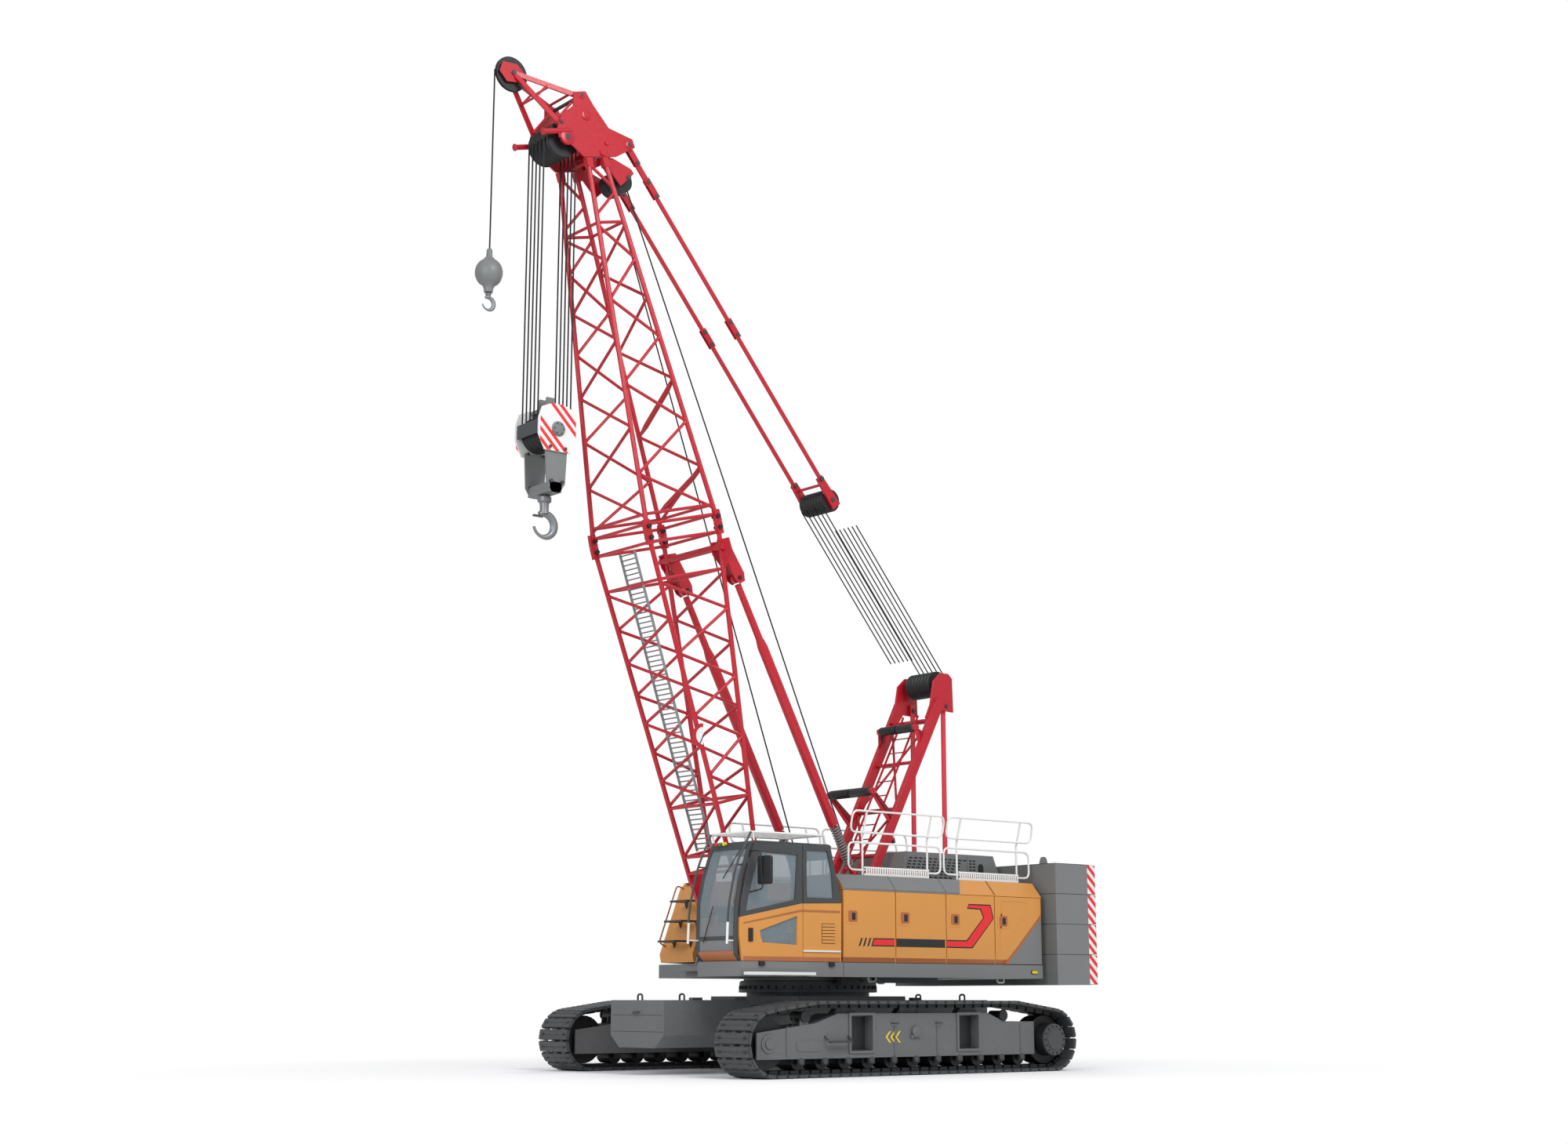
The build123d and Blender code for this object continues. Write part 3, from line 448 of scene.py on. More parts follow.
top = Piece("boom_top_frame", "boom", "red_paint", "boom_top")
for side in (-1, 1):
    for back in (-1, 1):
        top.bar(chord(JOINT_S + 0.06, side, back), chord(HEAD_S - 0.02, side, back), CHORD_R, red,
                16)
        joint = chord(JOINT_S, side, back)
        top.beam(joint + along * 0.002, joint + along * 0.2, 0.13, 0.07, red, end=0.11)
        top.pin(chord(JOINT_S + 0.09, side, back), 0.085, 0.035, black)
        end = chord(HEAD_S, side, back)
        top.beam(end - along * 0.16, end - along * 0.001, 0.1, 0.1, red, end=0.12)
zigzag(top, (11.62, 10.41, 9.03, 7.55), (11.06, 9.74, 8.31, 6.85))
for s in (6.74, 6.9, 11.68):
    cross_frame(top, s)
for low, high in ((8.3, 9.0), (6.98, 7.5)):
    p, q = chord(high, 1, 1), chord(low, -1, 1)
    for f, g in ((0.06, 0.2), (0.8, 0.94)):
        first = 0.025 if f < 0.5 else 0.046
        top.bar(p.lerp(q, f), p.lerp(q, g), first, red, 12, end=0.071 - first)
    top.bar(p.lerp(q, 0.2), p.lerp(q, 0.8), 0.046, red, 12)
for side in (-1, 1):
    top.bar(chord(11.81, side, -1), chord(12.18, side, 1), BRACE_R, red, 10)
    top.bar(chord(12.27, side, 1), chord(12.66, side, -1), BRACE_R, red, 10)
top.done()

# Angle indicator on the base section, and its small board
gauge = Piece("angle_indicator", "boom", "red_paint")
face = chord(3.3, 1, -1) + Vector((0.02, 0.05, 0))


def half_disc(radius, y):
    """Outline of the gauge's half disc."""
    turns = [math.pi * k / 14 for k in range(15)]
    return [face + Vector((radius * math.sin(a) - 0.05, y, radius * math.cos(a))) for a in turns]


gauge.prism(half_disc(0.2, 0), across(0.012), red)
gauge.prism(half_disc(0.14, 0.0125), across(0.002), white)
gauge.beam(face + Vector((-0.05, 0.018, 0)), face + Vector((0.02, 0.018, -0.13)), 0.016, 0.004,
           black)
gauge.bar(face + Vector((-0.05, -0.05, 0)), face + Vector((-0.05, 0.02, 0)), 0.016, dark)
gauge.done()


# Boom head
def sheave(piece, centre, radius, y0, y1, count, mat=black, hub=0.07):
    """Set of grooved sheaves side by side on one shaft."""
    pitch = (y1 - y0) / count
    groove = [(0.04, 0.985), (0.14, 1.0), (0.2, 1.0), (0.38, 0.9), (0.5, 0.875), (0.62, 0.9),
              (0.8, 1.0), (0.86, 1.0), (0.96, 0.985)]
    for i in range(count):
        piece.turn((centre.x, y0 + i * pitch, centre.z), (0, 1, 0),
                   [(0.04 * pitch, hub), (0.04 * pitch, radius * 0.8)]
                   + [(a * pitch, r * radius) for a, r in groove]
                   + [(0.96 * pitch, radius * 0.8), (0.96 * pitch, hub)], mat, 40)
    piece.bar((centre.x, y0, centre.z), (centre.x, y1, centre.z), hub, mat, 20)


head = Piece("boom_head_frame", "boom", "red_paint", "boom_head", bevel=0.004)
for side in (-1, 1):
    y = side * HEAD_Y
    boom_plate(head, [(12.77, -0.24), (12.95, -0.42), (13.1, -0.66), (13.25, -0.66), (13.48, -0.52),
                      (13.62, -0.26), (13.85, -0.2), (13.86, 0.04), (13.63, 0.14), (13.25, 0.36),
                      (13.06, 0.8), (12.92, 0.82), (12.85, 0.62), (12.77, 0.4)],
               y - 0.015, y + 0.015, red)
    for s, n, r in ((13.1, -0.5, 0.13), (12.97, 0.71, 0.08), (13.46, -0.05, 0.09),
                    (13.79, -0.06, 0.06)):
        head.turn(B(s, y - 0.03, n), (0, 1, 0), [(0, r * 0.9), (0.006, r), (0.054, r),
                                                 (0.06, r * 0.9)], red, 24)
    boom_plate(head, [(12.3, 0.42), (12.5, 0.74), (12.58, 0.7), (12.77, 0.36), (12.77, 0.2),
                      (12.66, 0.2)], side * 0.36 - 0.012, side * 0.36 + 0.012, red)
for s, n, r, mat in ((13.1, -0.5, 0.05, dark), (12.97, 0.71, 0.04, dark),
                     (13.46, -0.05, 0.05, red), (12.44, 0.61, 0.04, dark),
                     (12.84, 0.13, 0.055, red), (13.79, -0.06, 0.03, dark),
                     (13.35, -0.56, 0.03, dark), (13.0, 0.25, 0.04, red)):
    reach = 0.4 if s < 12.5 else 0.46
    head.pin(B(s, 0, n), reach, r, mat, 16)
for side in (-1, 1):
    start = Vector((5.3, side * HEAD_Y, 14.8))
    tip = start + Vector((0.5, 0, -0.15))
    head.bar(start, tip, 0.045, red, 14)
    head.bar(tip, start + Vector((0.52, 0, -0.156)), 0.06, red, 14)
# Deep red strips beside the cheek plates: painted shade
for y0, y1 in ((-0.42, -0.33), (0.33, 0.42)):
    head.prism([B(13.2, y0, 0.3), B(13.2, y1, 0.3), B(12.8, y1, 0.34), B(12.8, y0, 0.34)],
               along.cross(across(1)) * 0.012, painted_shade_red)
head.done()

def wheel_set(name, body, node, centre, radius, half, count):
    """Set of sheaves as a piece of its own, half its width to each side of the middle."""
    wheel = Piece(name, body, "dark_paint", node)
    sheave(wheel, centre, radius, -half, half, count)
    wheel.done()


wheel_set("head_sheave_set", "head_sheave_set", "head_sheaves", B(*SHEAVE_PIN), 0.29, 0.29, 5)
wheel_set("jib_sheave_wheel", "jib_sheave_set", "jib_sheave", B(*JIB_TIP), 0.29, 0.03, 1)
wheel_set("guide_wheels", "guide_sheave_set", "guide_sheaves", B(*GUIDE_PIN), 0.2, 0.2, 2)

jib = Piece("aux_jib_frame", "boom", "red_paint", "aux_jib")
for side in (-1, 1):
    for s, n in JIB_FEET:
        jib.beam(B(s, side * 0.37, n), B(JIB_TIP[0], side * 0.075, JIB_TIP[2]), 0.09, 0.03, red,
                 end=0.08)
        jib.pin(B(s, side * 0.38, n), 0.02, 0.055, red, 20)
    jib.bar(B(14.02, side * 0.222, -0.54), B(13.82, side * 0.22, -0.81), 0.02, red, 10)
    jib.bar(B(13.79, side * 0.36, -0.1), B(13.4, side * 0.33, -0.6), 0.022, red, 10)
    boom_plate(jib, [(14.1, -1.0), (14.22, -0.82), (14.4, -0.94), (14.45, -1.2), (14.3, -1.3),
                     (14.12, -1.2)], side * 0.075 - 0.006, side * 0.075 + 0.006, red)
jib.pin(B(*JIB_TIP), 0.11, 0.04, dark, 16)
for s, n, w in ((14.0, -0.5, 0.24), (13.83, -0.8, 0.22), (14.42, -1.2, 0.08)):
    jib.pin(B(s, 0, n), w, 0.02, red, 10)
jib.pin(B(13.87, 0, -0.15), 0.3, 0.022, red, 10)
jib.done()

# Pendants, bridle and luffing falls
HEAD_PIN = B(*PENDANT_PIN)
GANTRY_HEAD = Vector((-2.77, 0, 6.61))
luff = (GANTRY_HEAD - HEAD_PIN).normalized()
out = luff.cross(across(1))


def pendant(d, y=0.0):
    """Point at distance d from the head pin towards the gantry head."""
    return HEAD_PIN + across(y) + luff * d


# Distances from the head pin to the bridle's pin and to its sheaves
BRIDLE_PIN, BRIDLE_AXIS = 6.48, 6.9
pend = Piece("pendant_bars", "pendant_set", "red_paint", "pendants")
for side in (-1, 1):
    y = side * PENDANT_Y
    for lug_y in (y - 0.028, y + 0.028):
        for start, end in ((-0.06, 0.36), (0.62, 0.98), (3.3, 3.66)):
            pend.beam(pendant(start, lug_y), pendant(end, lug_y), 0.11, 0.014, red)
    for start, end, width in ((0.28, 0.72, 0.1), (0.9, 3.4, 0.07), (3.56, 6.43, 0.07)):
        pend.beam(pendant(start, y), pendant(end, y), width, 0.03, red)
    for d in (0.0, 0.32, 0.68, 0.94, 3.36, 3.6):
        pend.pin(pendant(d, y), 0.05, 0.036, dark, 16)
pend.done()

bridle = Piece("bridle_frame", "pendant_set", "red_paint", "bridle")
for side in (-1, 1):
    for y in (side * 0.35, side * 0.33):
        bridle.beam(pendant(BRIDLE_PIN - 0.045, y), pendant(BRIDLE_AXIS + 0.14, y), 0.13, 0.03, red,
                    end=0.2)
    bridle.pin(pendant(BRIDLE_PIN, side * PENDANT_Y), 0.06, 0.038, dark, 16)
bridle.pin(pendant(BRIDLE_AXIS), 0.38, 0.04, dark, 16)
bridle.pin(pendant(BRIDLE_PIN + 0.1), 0.33, 0.025, red)
bridle.done()
wheel_set("bridle_wheels", "bridle_sheave_set", "bridle_sheaves", pendant(BRIDLE_AXIS), 0.2,
          0.305, 8)
wheel_set("gantry_wheels", "gantry_sheave_set", "gantry_sheaves", GANTRY_HEAD, 0.225, 0.305, 8)

# Each half of the falls stops short of the far sheaves
fall = (GANTRY_HEAD - pendant(BRIDLE_AXIS)).length - 0.66
upper = Piece("luffing_falls_upper_set", "pendant_set", "wire_rope", "luffing_falls_upper")
lower = Piece("luffing_falls_lower_set", "falls_lower", "wire_rope", "luffing_falls_lower")
for i in range(6):
    y = -0.275 + i * 0.11
    p = pendant(BRIDLE_AXIS, y) + out * 0.2135
    upper.bar(p, p + luff * fall, 0.011, rope, 8)
    p = GANTRY_HEAD + across(y) - out * 0.2385
    lower.bar(p, p - luff * fall, 0.011, rope, 8)
upper.done()
lower.done()

# Hoist lines from the boom head to the houses; they ride the boom and clear the gantry
hoist = Piece("hoist_lines", "boom", "wire_rope")
for x, z, y, extra in ((-0.94, 3.28, 0.16, -0.35), (0.33, 3.94, -0.16, 0.9)):
    start, aim = Vector((4.05, y, 14.32)), Vector((x, y * 0.6, z))
    hoist.bar(start, aim + (aim - start).normalized() * extra, 0.012, rope, 8)
hoist.done()

# Gantry
FOOT = Vector((-0.41, 0, 2.10))
lean = (GANTRY_HEAD - FOOT).normalized()
front = Vector((lean.z, 0, -lean.x))


def leg(d, y=0.0, ahead=0.0):
    """Point at distance d up the gantry's legs, y across and ahead of them."""
    return FOOT + lean * d + across(y) + front * ahead


# Rope rollers between the legs: x, z and half width
ROPE_ROLLERS = ((-2.07, 5.77, 0.43), (-0.97, 4.59, 0.52))
gantry = Piece("gantry_frame", "upper", "red_paint", "gantry", bevel=0.004)
for side in (-1, 1):
    y = side * LEG_Y
    gantry.beam(leg(0, y), leg(4.72, y), 0.13, 0.09, red, end=0.19)
    gantry.pin(leg(0, y), 0.046, 0.085, red, 20)
    gantry.plate([(-2.97, 6.1), (-2.95, 6.7), (-2.86, 6.78), (-2.68, 6.78), (-2.5, 6.62),
                  (-2.42, 6.2), (-2.3, 5.95), (-2.46, 5.9), (-2.62, 6.12)],
                 side * 0.46 - 0.02, side * 0.46 + 0.02, red)
    gantry.bar((-2.8, side * 0.33, 6.2), (-2.8, side * 0.5, 6.2), 0.035, dark)
    # Bracket arms of the rope rollers, with a deep red strip of painted shade on their underside
    for x, z, width in ROPE_ROLLERS:
        hub = Vector((x, side * (width + 0.03), z))
        root = leg((Vector((x, 0, z)) - FOOT).dot(lean) - 0.2, y)
        gantry.beam(root, hub, 0.2, 0.02, red, end=0.09)
        gantry.beam(root + lean * 0.03, hub - front * 0.08, 0.1, 0.05, painted_shade_red, end=0.05)
        gantry.pin(hub, 0.03, 0.06, red, 16)
    # Rear lug with its pin
    gantry.beam(leg(1.95, y), leg(1.95, y, -0.16), 0.18, 0.06, red, end=0.12)
    gantry.pin(leg(1.95, y, -0.14), 0.05, 0.03, black)
for d, r in ((0.9, 0.045), (1.6, 0.03), (2.5, 0.045), (3.45, 0.03), (4.3, 0.045)):
    gantry.pin(leg(d), LEG_Y, r, red, 14)
for side in (-1, 1):
    for a, b in ((0.9, 2.5), (2.5, 4.3)):
        gantry.bar(leg(a, side * 0.5), leg(b, -side * 0.5), 0.022, red, 10)
    gantry.beam(leg(0.3, side * 0.19, 0.07), leg(4.4, side * 0.19, 0.07), 0.045, 0.012, red)
for i in range(14):
    gantry.pin(leg(0.45 + i * 0.29, 0, 0.07), 0.19, 0.012, red, 8)
gantry.pin(GANTRY_HEAD, 0.47, 0.055, dark, 20)
gantry.done()
rollers = Piece("gantry_rope_rollers", "upper", "dark_steel")
for x, z, width in ROPE_ROLLERS:
    for side in (-1, 1):
        rollers.turn((x, side * 0.012, z), (0, side, 0),
                     [(0, 0.07), (0.01, 0.078), (width - 0.03, 0.078), (width - 0.01, 0.06),
                      (width, 0.03)], black, 24)
rollers.done()

# Backstops
STOP_FOOT, STOP_TOP = Vector((-0.96, 0, 2.10)), B(STOP_S, 0, STOP_N)
aim = (STOP_TOP - STOP_FOOT).normalized()
rods = Piece("backstop_rod_bars", "backstop_rod_set", "red_paint", "backstop_rods")
tubes = Piece("backstop_tube_bars", "backstop_tube_set", "red_paint", "backstop_tubes")
for side in (-1, 1):
    foot = STOP_FOOT + across(side * STOP_Y)
    rods.bar(foot, foot + aim * 5.0, 0.045, red, 20)
    rods.pin(foot, 0.045, 0.09, red, 24)
    rods.turn(foot + aim * 1.08, aim, [(0, 0.05), (0.01, 0.085), (0.05, 0.085), (0.06, 0.05)],
              red, 24)
    tubes.turn(foot + aim * 2.1, aim, [(0, 0.047), (0, 0.085), (2.4, 0.085), (3.2, 0.085),
                                       (3.35, 0.06), (4.3, 0.055)], red, 24)
    tubes.pin(STOP_TOP + across(side * STOP_Y), 0.04, 0.08, red, 20)
    # Buffer spring of 15 turns
    u = aim.orthogonal().normalized()
    v = aim.cross(u)
    coil = [foot + aim * (1.38 + 0.7 * k / 180)
            + (u * math.cos(k * math.pi / 6) + v * math.sin(k * math.pi / 6)) * 0.064
            for k in range(181)]
    tubes.pipe(coil, 0.017, grey, 6)
rods.done()
tubes.done()

# Hook block and main hook
BLOCK_DROP, BALL_DROP, LINE_OUT = 4.82, 3.01, 0.3033
block_x, block_z = B(*SHEAVE_PIN).x, B(*SHEAVE_PIN).z - BLOCK_DROP
hook_block = Piece("hook_block_cheeks", "main_fall_set", "grey_paint", "hook_block", bevel=0.003)


def at_block(outline):
    """Outline (x, z) about the block's shaft, moved to the block."""
    return [(block_x + x, block_z + z) for x, z in outline]


cheek = [(-0.36, -0.12), (-0.36, 0.14), (-0.3, 0.32), (-0.12, 0.4), (0.12, 0.4), (0.3, 0.32),
         (0.36, 0.14), (0.36, -0.12), (0.24, -0.36), (-0.24, -0.36)]
for side in (-1, 1):
    y = side * 0.33
    hook_block.plate(at_block(cheek), y - 0.015, y + 0.015, white)
    face_y = y + side * 0.0155
    for k in range(-5, 5):
        band = [(-0.36 + k * 0.16, -0.36), (-0.28 + k * 0.16, -0.36), (0.48 + k * 0.16, 0.4),
                (0.40 + k * 0.16, 0.4)]
        cut = clip(band, -0.33, 0.33)
        cut = [(x, z) for x, z in cut if abs(x) + abs(z) < 0.62]
        if len(cut) > 2:
            hook_block.plate(at_block(cut), face_y, face_y + side * 0.002, stripe_red)
    hook_block.turn((block_x, y, block_z), (0, side, 0),
                    [(0, 0.12), (0.03, 0.12), (0.035, 0.1), (0.05, 0.1), (0.055, 0.06)], grey, 28)
    for k in range(6):
        a = k * math.pi / 3
        x, z = block_x + 0.085 * math.cos(a), block_z + 0.085 * math.sin(a)
        hook_block.bar((x, y, z), (x, y + side * 0.062, z), 0.013, dark, 6)
    hook_block.plate(at_block(((-0.2, -0.3), (0.2, -0.3), (0.17, -0.86), (0.08, -1.0),
                               (-0.08, -1.0), (-0.17, -0.86))),
                     y - 0.05 * side, y - 0.02 * side, grey)
    for x, z in ((-0.14, -0.3), (0.14, -0.3), (0.1, -0.84), (-0.1, -0.84)):
        hook_block.bar((block_x + x, y - 0.06 * side, block_z + z),
                       (block_x + x, y + side * 0.03, block_z + z), 0.028, dark, 8)
for side in (-1, 1):
    hook_block.box(block_x + side * 0.335 - 0.01, block_x + side * 0.335 + 0.01, -0.3, 0.3,
                   block_z - 0.1, block_z + 0.12, dark)
hook_block.box(block_x - 0.11, block_x + 0.11, -0.31, 0.31, block_z - 1.0, block_z - 0.84, grey)
hook_block.box(block_x - 0.09, block_x + 0.09, -0.32, 0.32, block_z + 0.34, block_z + 0.4, grey)
for side in (-1, 1):
    hook_block.plate(at_block(((-0.1, 0.38), (0.1, 0.38), (0.07, 0.56), (-0.07, 0.56))),
                     side * 0.1 - 0.015, side * 0.1 + 0.015, grey)
hook_block.pin((block_x, 0, block_z), 0.345, 0.05, dark, 16)
hook_block.done()
wheel_set("block_wheels", "block_sheave_set", "block_sheaves", Vector((block_x, 0, block_z)),
          0.29, 0.28, 5)


def hook(piece, x, z, size, mat):
    """Single hook with its opening on one side, below a shank; z is the middle of the bowl."""
    rings = []
    for k in range(29):
        a = math.radians(118 - k * 10.2)
        f = k / 28
        thick = size * (0.3 + 0.22 * math.sin(math.pi * min(f * 1.25, 1)) - 0.14 * f)
        centre = Vector((x - size * 0.78 * math.cos(a), 0, z + size * 0.78 * math.sin(a)))
        radial = Vector((-math.cos(a), 0, math.sin(a)))
        rings.append([centre + radial * math.cos(b) * thick * 0.62
                      + across(math.sin(b) * thick * 0.45)
                      for b in [2 * math.pi * j / 14 for j in range(14)]])
    points = [p for ring in rings for p in ring]
    faces = [[k * 14 + j, k * 14 + (j + 1) % 14, (k + 1) * 14 + (j + 1) % 14, (k + 1) * 14 + j]
             for k in range(len(rings) - 1) for j in range(14)]
    faces += [list(range(14))[::-1], list(range(len(points) - 14, len(points)))]
    piece.add(points, faces, mat)


main_hook = Piece("main_hook_forging", "main_hook_swivel", "hook_steel", "main_hook")
main_hook.turn((block_x, 0, block_z - 1.001), (0, 0, -1),
               [(0, 0.07), (0.04, 0.11), (0.1, 0.11), (0.13, 0.075), (0.22, 0.07), (0.3, 0.075)],
               hook_steel, 24)
hook(main_hook, block_x, block_z - 1.48, 0.24, hook_steel)
main_hook.box(block_x + 0.03, block_x + 0.2, -0.02, 0.02, block_z - 1.36, block_z - 1.33, dark)
main_hook.done()

# Auxiliary line, ball and hook
line_x, ball_top = B(*JIB_TIP).x + LINE_OUT, B(*JIB_TIP).z - BALL_DROP
ball = Piece("aux_ball", "aux_fall_set", "grey_paint", "aux_weight")
ball.turn((line_x, 0, ball_top - 0.001), (0, 0, -1),
          [(0, 0.03), (0.02, 0.045), (0.13, 0.05), (0.16, 0.08)]
          + [(0.16 + 0.235 * (1 - math.cos(a)), 0.22 * math.sin(a) if a < 2.4 else 0.15)
             for a in [0.4 + 0.2 * k for k in range(11)]]
          + [(0.6, 0.1), (0.66, 0.075), (0.715, 0.07)], grey, 32)
ball.done()
aux_hook = Piece("aux_hook_forging", "aux_hook_swivel", "hook_steel", "aux_hook")
aux_hook.turn((line_x, 0, ball_top - 0.7203), (0, 0, -1),
              [(0, 0.035), (0.03, 0.05), (0.06, 0.03), (0.09, 0.035)], hook_steel, 20)
hook(aux_hook, line_x, ball_top - 0.9, 0.13, hook_steel)
aux_hook.done()

# Winch drums wound with rope
for name, x, z in (("luffing_drum", 0.75, 2.12), ("main_drum", 0.05, 2.15),
                   ("aux_drum", -1.25, 2.15)):
    winch = Piece(name + "_wound", name + "_rotor", "dark_paint", name)
    winch.turn((x, -0.345, z), (0, 1, 0),
               [(0, 0.19)] + [(0.69 * k / 52, 0.215 if k % 2 else 0.203) for k in range(53)]
               + [(0.69, 0.19)], rope, 28)
    for side in (-1, 1):
        winch.turn((x, side * 0.345, z), (0, side, 0),
                   [(0, 0.28), (0.01, 0.29), (0.03, 0.29), (0.035, 0.1)], dark, 36)
        for k in range(8):
            a = k * math.pi / 4
            spot = Vector((x + 0.16 * math.cos(a), side * 0.375, z + 0.16 * math.sin(a)))
            winch.bar(spot, spot + across(side * 0.012), 0.016, black, 6)
    winch.done()

# Track shoes
HALF, WRAP, TOP_Z, REACH = 2.95, 0.5, 1.12, 2.1
reach_x, reach_z = HALF - REACH, TOP_Z - WRAP
lift = math.atan2(reach_z, -reach_x) - math.acos(WRAP / math.hypot(reach_x, reach_z))
corner = (HALF + WRAP * math.cos(lift), WRAP + WRAP * math.sin(lift))
slope = math.hypot(corner[0] - REACH, TOP_Z - corner[1])
arc_run = WRAP * (lift + math.pi / 2)
loop_run = 2 * HALF + 2 * arc_run + 2 * slope + 2 * REACH


def on_track(d, depth):
    """Point at distance d round the track from the rear wheel's foot, depth inside the tips."""
    d = d % loop_run
    if d < 2 * HALF:
        return (-HALF + d, depth)
    d -= 2 * HALF
    if d < arc_run:
        a = -math.pi / 2 + d / WRAP
        return (HALF + (WRAP - depth) * math.cos(a), WRAP + (WRAP - depth) * math.sin(a))
    d -= arc_run
    if d < slope:
        f = d / slope
        return (corner[0] + (REACH - corner[0]) * f - depth * math.cos(lift),
                corner[1] + (TOP_Z - corner[1]) * f - depth * math.sin(lift))
    d -= slope
    if d < 2 * REACH:
        return (REACH - d, TOP_Z - depth)
    x, z = on_track(2 * HALF + arc_run + slope + REACH - (d - REACH), depth)
    return (-x, z)


SHOES, SHOE_HALF, TRACK_Y, FACE_OUT = 74, 0.4, 2.35, 0.25
ROLLERS, ROLLER_PITCH = 11, 0.465
pitch = loop_run / SHOES
for side, name in ((1, "left"), (-1, "right")):
    centre = side * TRACK_Y
    track = Piece("track_shoes_" + name, "undercarriage", "dark_steel", "track_" + name)

    def on_shoe(outline, y0, y1, mat):
        track.plate([on_track(d, depth) for d, depth in outline], y0, y1, mat)

    for i in range(SHOES):
        d0, d1 = i * pitch + 0.008, (i + 1) * pitch - 0.008
        middle = (d0 + d1) / 2
        section = [(d0, 0.03), (d0 + 0.014, 0.0), (middle - 0.02, 0.0), (middle, 0.014),
                   (middle + 0.02, 0.0), (d1 - 0.014, 0.0), (d1, 0.03), (d1, 0.052), (d0, 0.052)]
        on_shoe(section, centre - SHOE_HALF, centre + SHOE_HALF, shoe_steel)
        for s in (-1, 1):
            on_shoe(((d0 + 0.012, 0.008), (d1 - 0.03, 0.008), (d1 - 0.012, 0.046),
                     (d0 + 0.03, 0.046)), centre + s * SHOE_HALF, centre + s * 0.415, shoe_steel)
            y = centre + s * 0.3
            on_shoe(((middle - 0.035, 0), (middle + 0.035, 0), (middle + 0.035, 0.002),
                     (middle - 0.035, 0.002)), y - 0.03, y + 0.03, black)
        for y in (-0.24, 0.0, 0.24):
            on_shoe(((d1 - 0.01, 0.012), (d1 + 0.014, 0.018), (d1 + 0.014, 0.046),
                     (d1 - 0.01, 0.05)), centre + y - 0.05, centre + y + 0.05, shoe_steel)
        on_shoe(((d0 + 0.006, 0.052), (d1 - 0.006, 0.052), (d1 - 0.02, 0.107),
                 (d0 + 0.02, 0.107)), centre - 0.2, centre + 0.2, black)
    track.done()

    # Fittings of the side frame
    fit = Piece("frame_fittings_" + name, "undercarriage", "grey_paint", bevel=0.002)
    face_y = centre + side * FACE_OUT

    def on_face(outline, proud, mat):
        fit.plate(outline, face_y, face_y + side * proud, mat)

    for x in (1.13, -1.13):
        outer = [(x - 0.26, 0.34), (x + 0.26, 0.34), (x + 0.26, 0.94), (x - 0.26, 0.94)]
        inner = [(x - 0.215, 0.38), (x + 0.215, 0.38), (x + 0.215, 0.9), (x - 0.215, 0.9)]
        fit.window(outer, inner, face_y, face_y + side * 0.02, under_grey)
        # Black plate inside each opening: painted shade in the recess
        fit.plate([(x - 0.2, 0.4), (x + 0.2, 0.4), (x + 0.2, 0.88), (x - 0.2, 0.88)],
                  face_y - side * 0.148, face_y - side * 0.14, black)
    fit.turn((0.02, face_y, 0.65), (0, side, 0), [(0, 0.085), (0.04, 0.085), (0.05, 0.07)],
             under_grey, 28)
    on_face([(-0.09, 0.56), (0.13, 0.56), (0.13, 0.6), (-0.09, 0.6)], 0.03, under_grey)
    # Inspection plate, a slot drawn as a black patch of painted shade, small hooks, folding step,
    # chevrons and seams
    plate_line = [(2.38, 0.38), (2.42, 0.42), (2.42, 0.5), (2.38, 0.54), (1.95, 0.54),
                  (1.9, 0.5), (1.9, 0.42), (1.95, 0.38)]
    on_face(plate_line, 0.008, under_grey)
    on_face([(3.0, 0.42), (3.08, 0.42), (3.08, 0.5), (3.0, 0.5)], 0.002, black)
    for x in (0.46, -0.47):
        fit.pipe(rounded([(x - 0.05, face_y, 0.78), (x - 0.05, face_y + side * 0.07, 0.78),
                          (x + 0.05, face_y + side * 0.07, 0.78), (x + 0.05, face_y, 0.78)],
                         0.03), 0.01, dark, 8)
    fit.pipe(rounded([(1.86, face_y, 0.6), (1.86, face_y + side * 0.1, 0.52),
                      (1.4, face_y + side * 0.1, 0.52), (1.4, face_y, 0.6)], 0.04), 0.014, dark, 8)
    fit.box(1.42, 1.84, face_y + side * 0.06, face_y + side * 0.14, 0.5, 0.515, dark)
    for k in range(3):
        x = 0.56 - k * 0.1
        on_face([(x, 0.66), (x + 0.08, 0.575), (x, 0.49), (x - 0.035, 0.49), (x + 0.045, 0.575),
                 (x - 0.035, 0.66)], 0.002, yellow)
    for x in (-2.3, -0.45, 0.45, 2.6):
        on_face([(x - 0.012, 0.3), (x + 0.012, 0.3), (x + 0.012, 0.74), (x - 0.012, 0.74)], 0.012,
                under_grey)
    # Drive cover with its bolt circle
    hub = (-HALF, centre + side * 0.36, WRAP)
    fit.turn(hub, (0, side, 0), [(0, 0.255), (0.03, 0.25), (0.035, 0.17), (0.05, 0.165),
                                 (0.055, 0.05)], dark, 36)
    for k in range(14):
        a = 2 * math.pi * k / 14
        bolt = Vector((hub[0] + 0.215 * math.cos(a), hub[1] + side * 0.03,
                       hub[2] + 0.215 * math.sin(a)))
        fit.bar(bolt, bolt + across(side * 0.016), 0.015, black, 6)
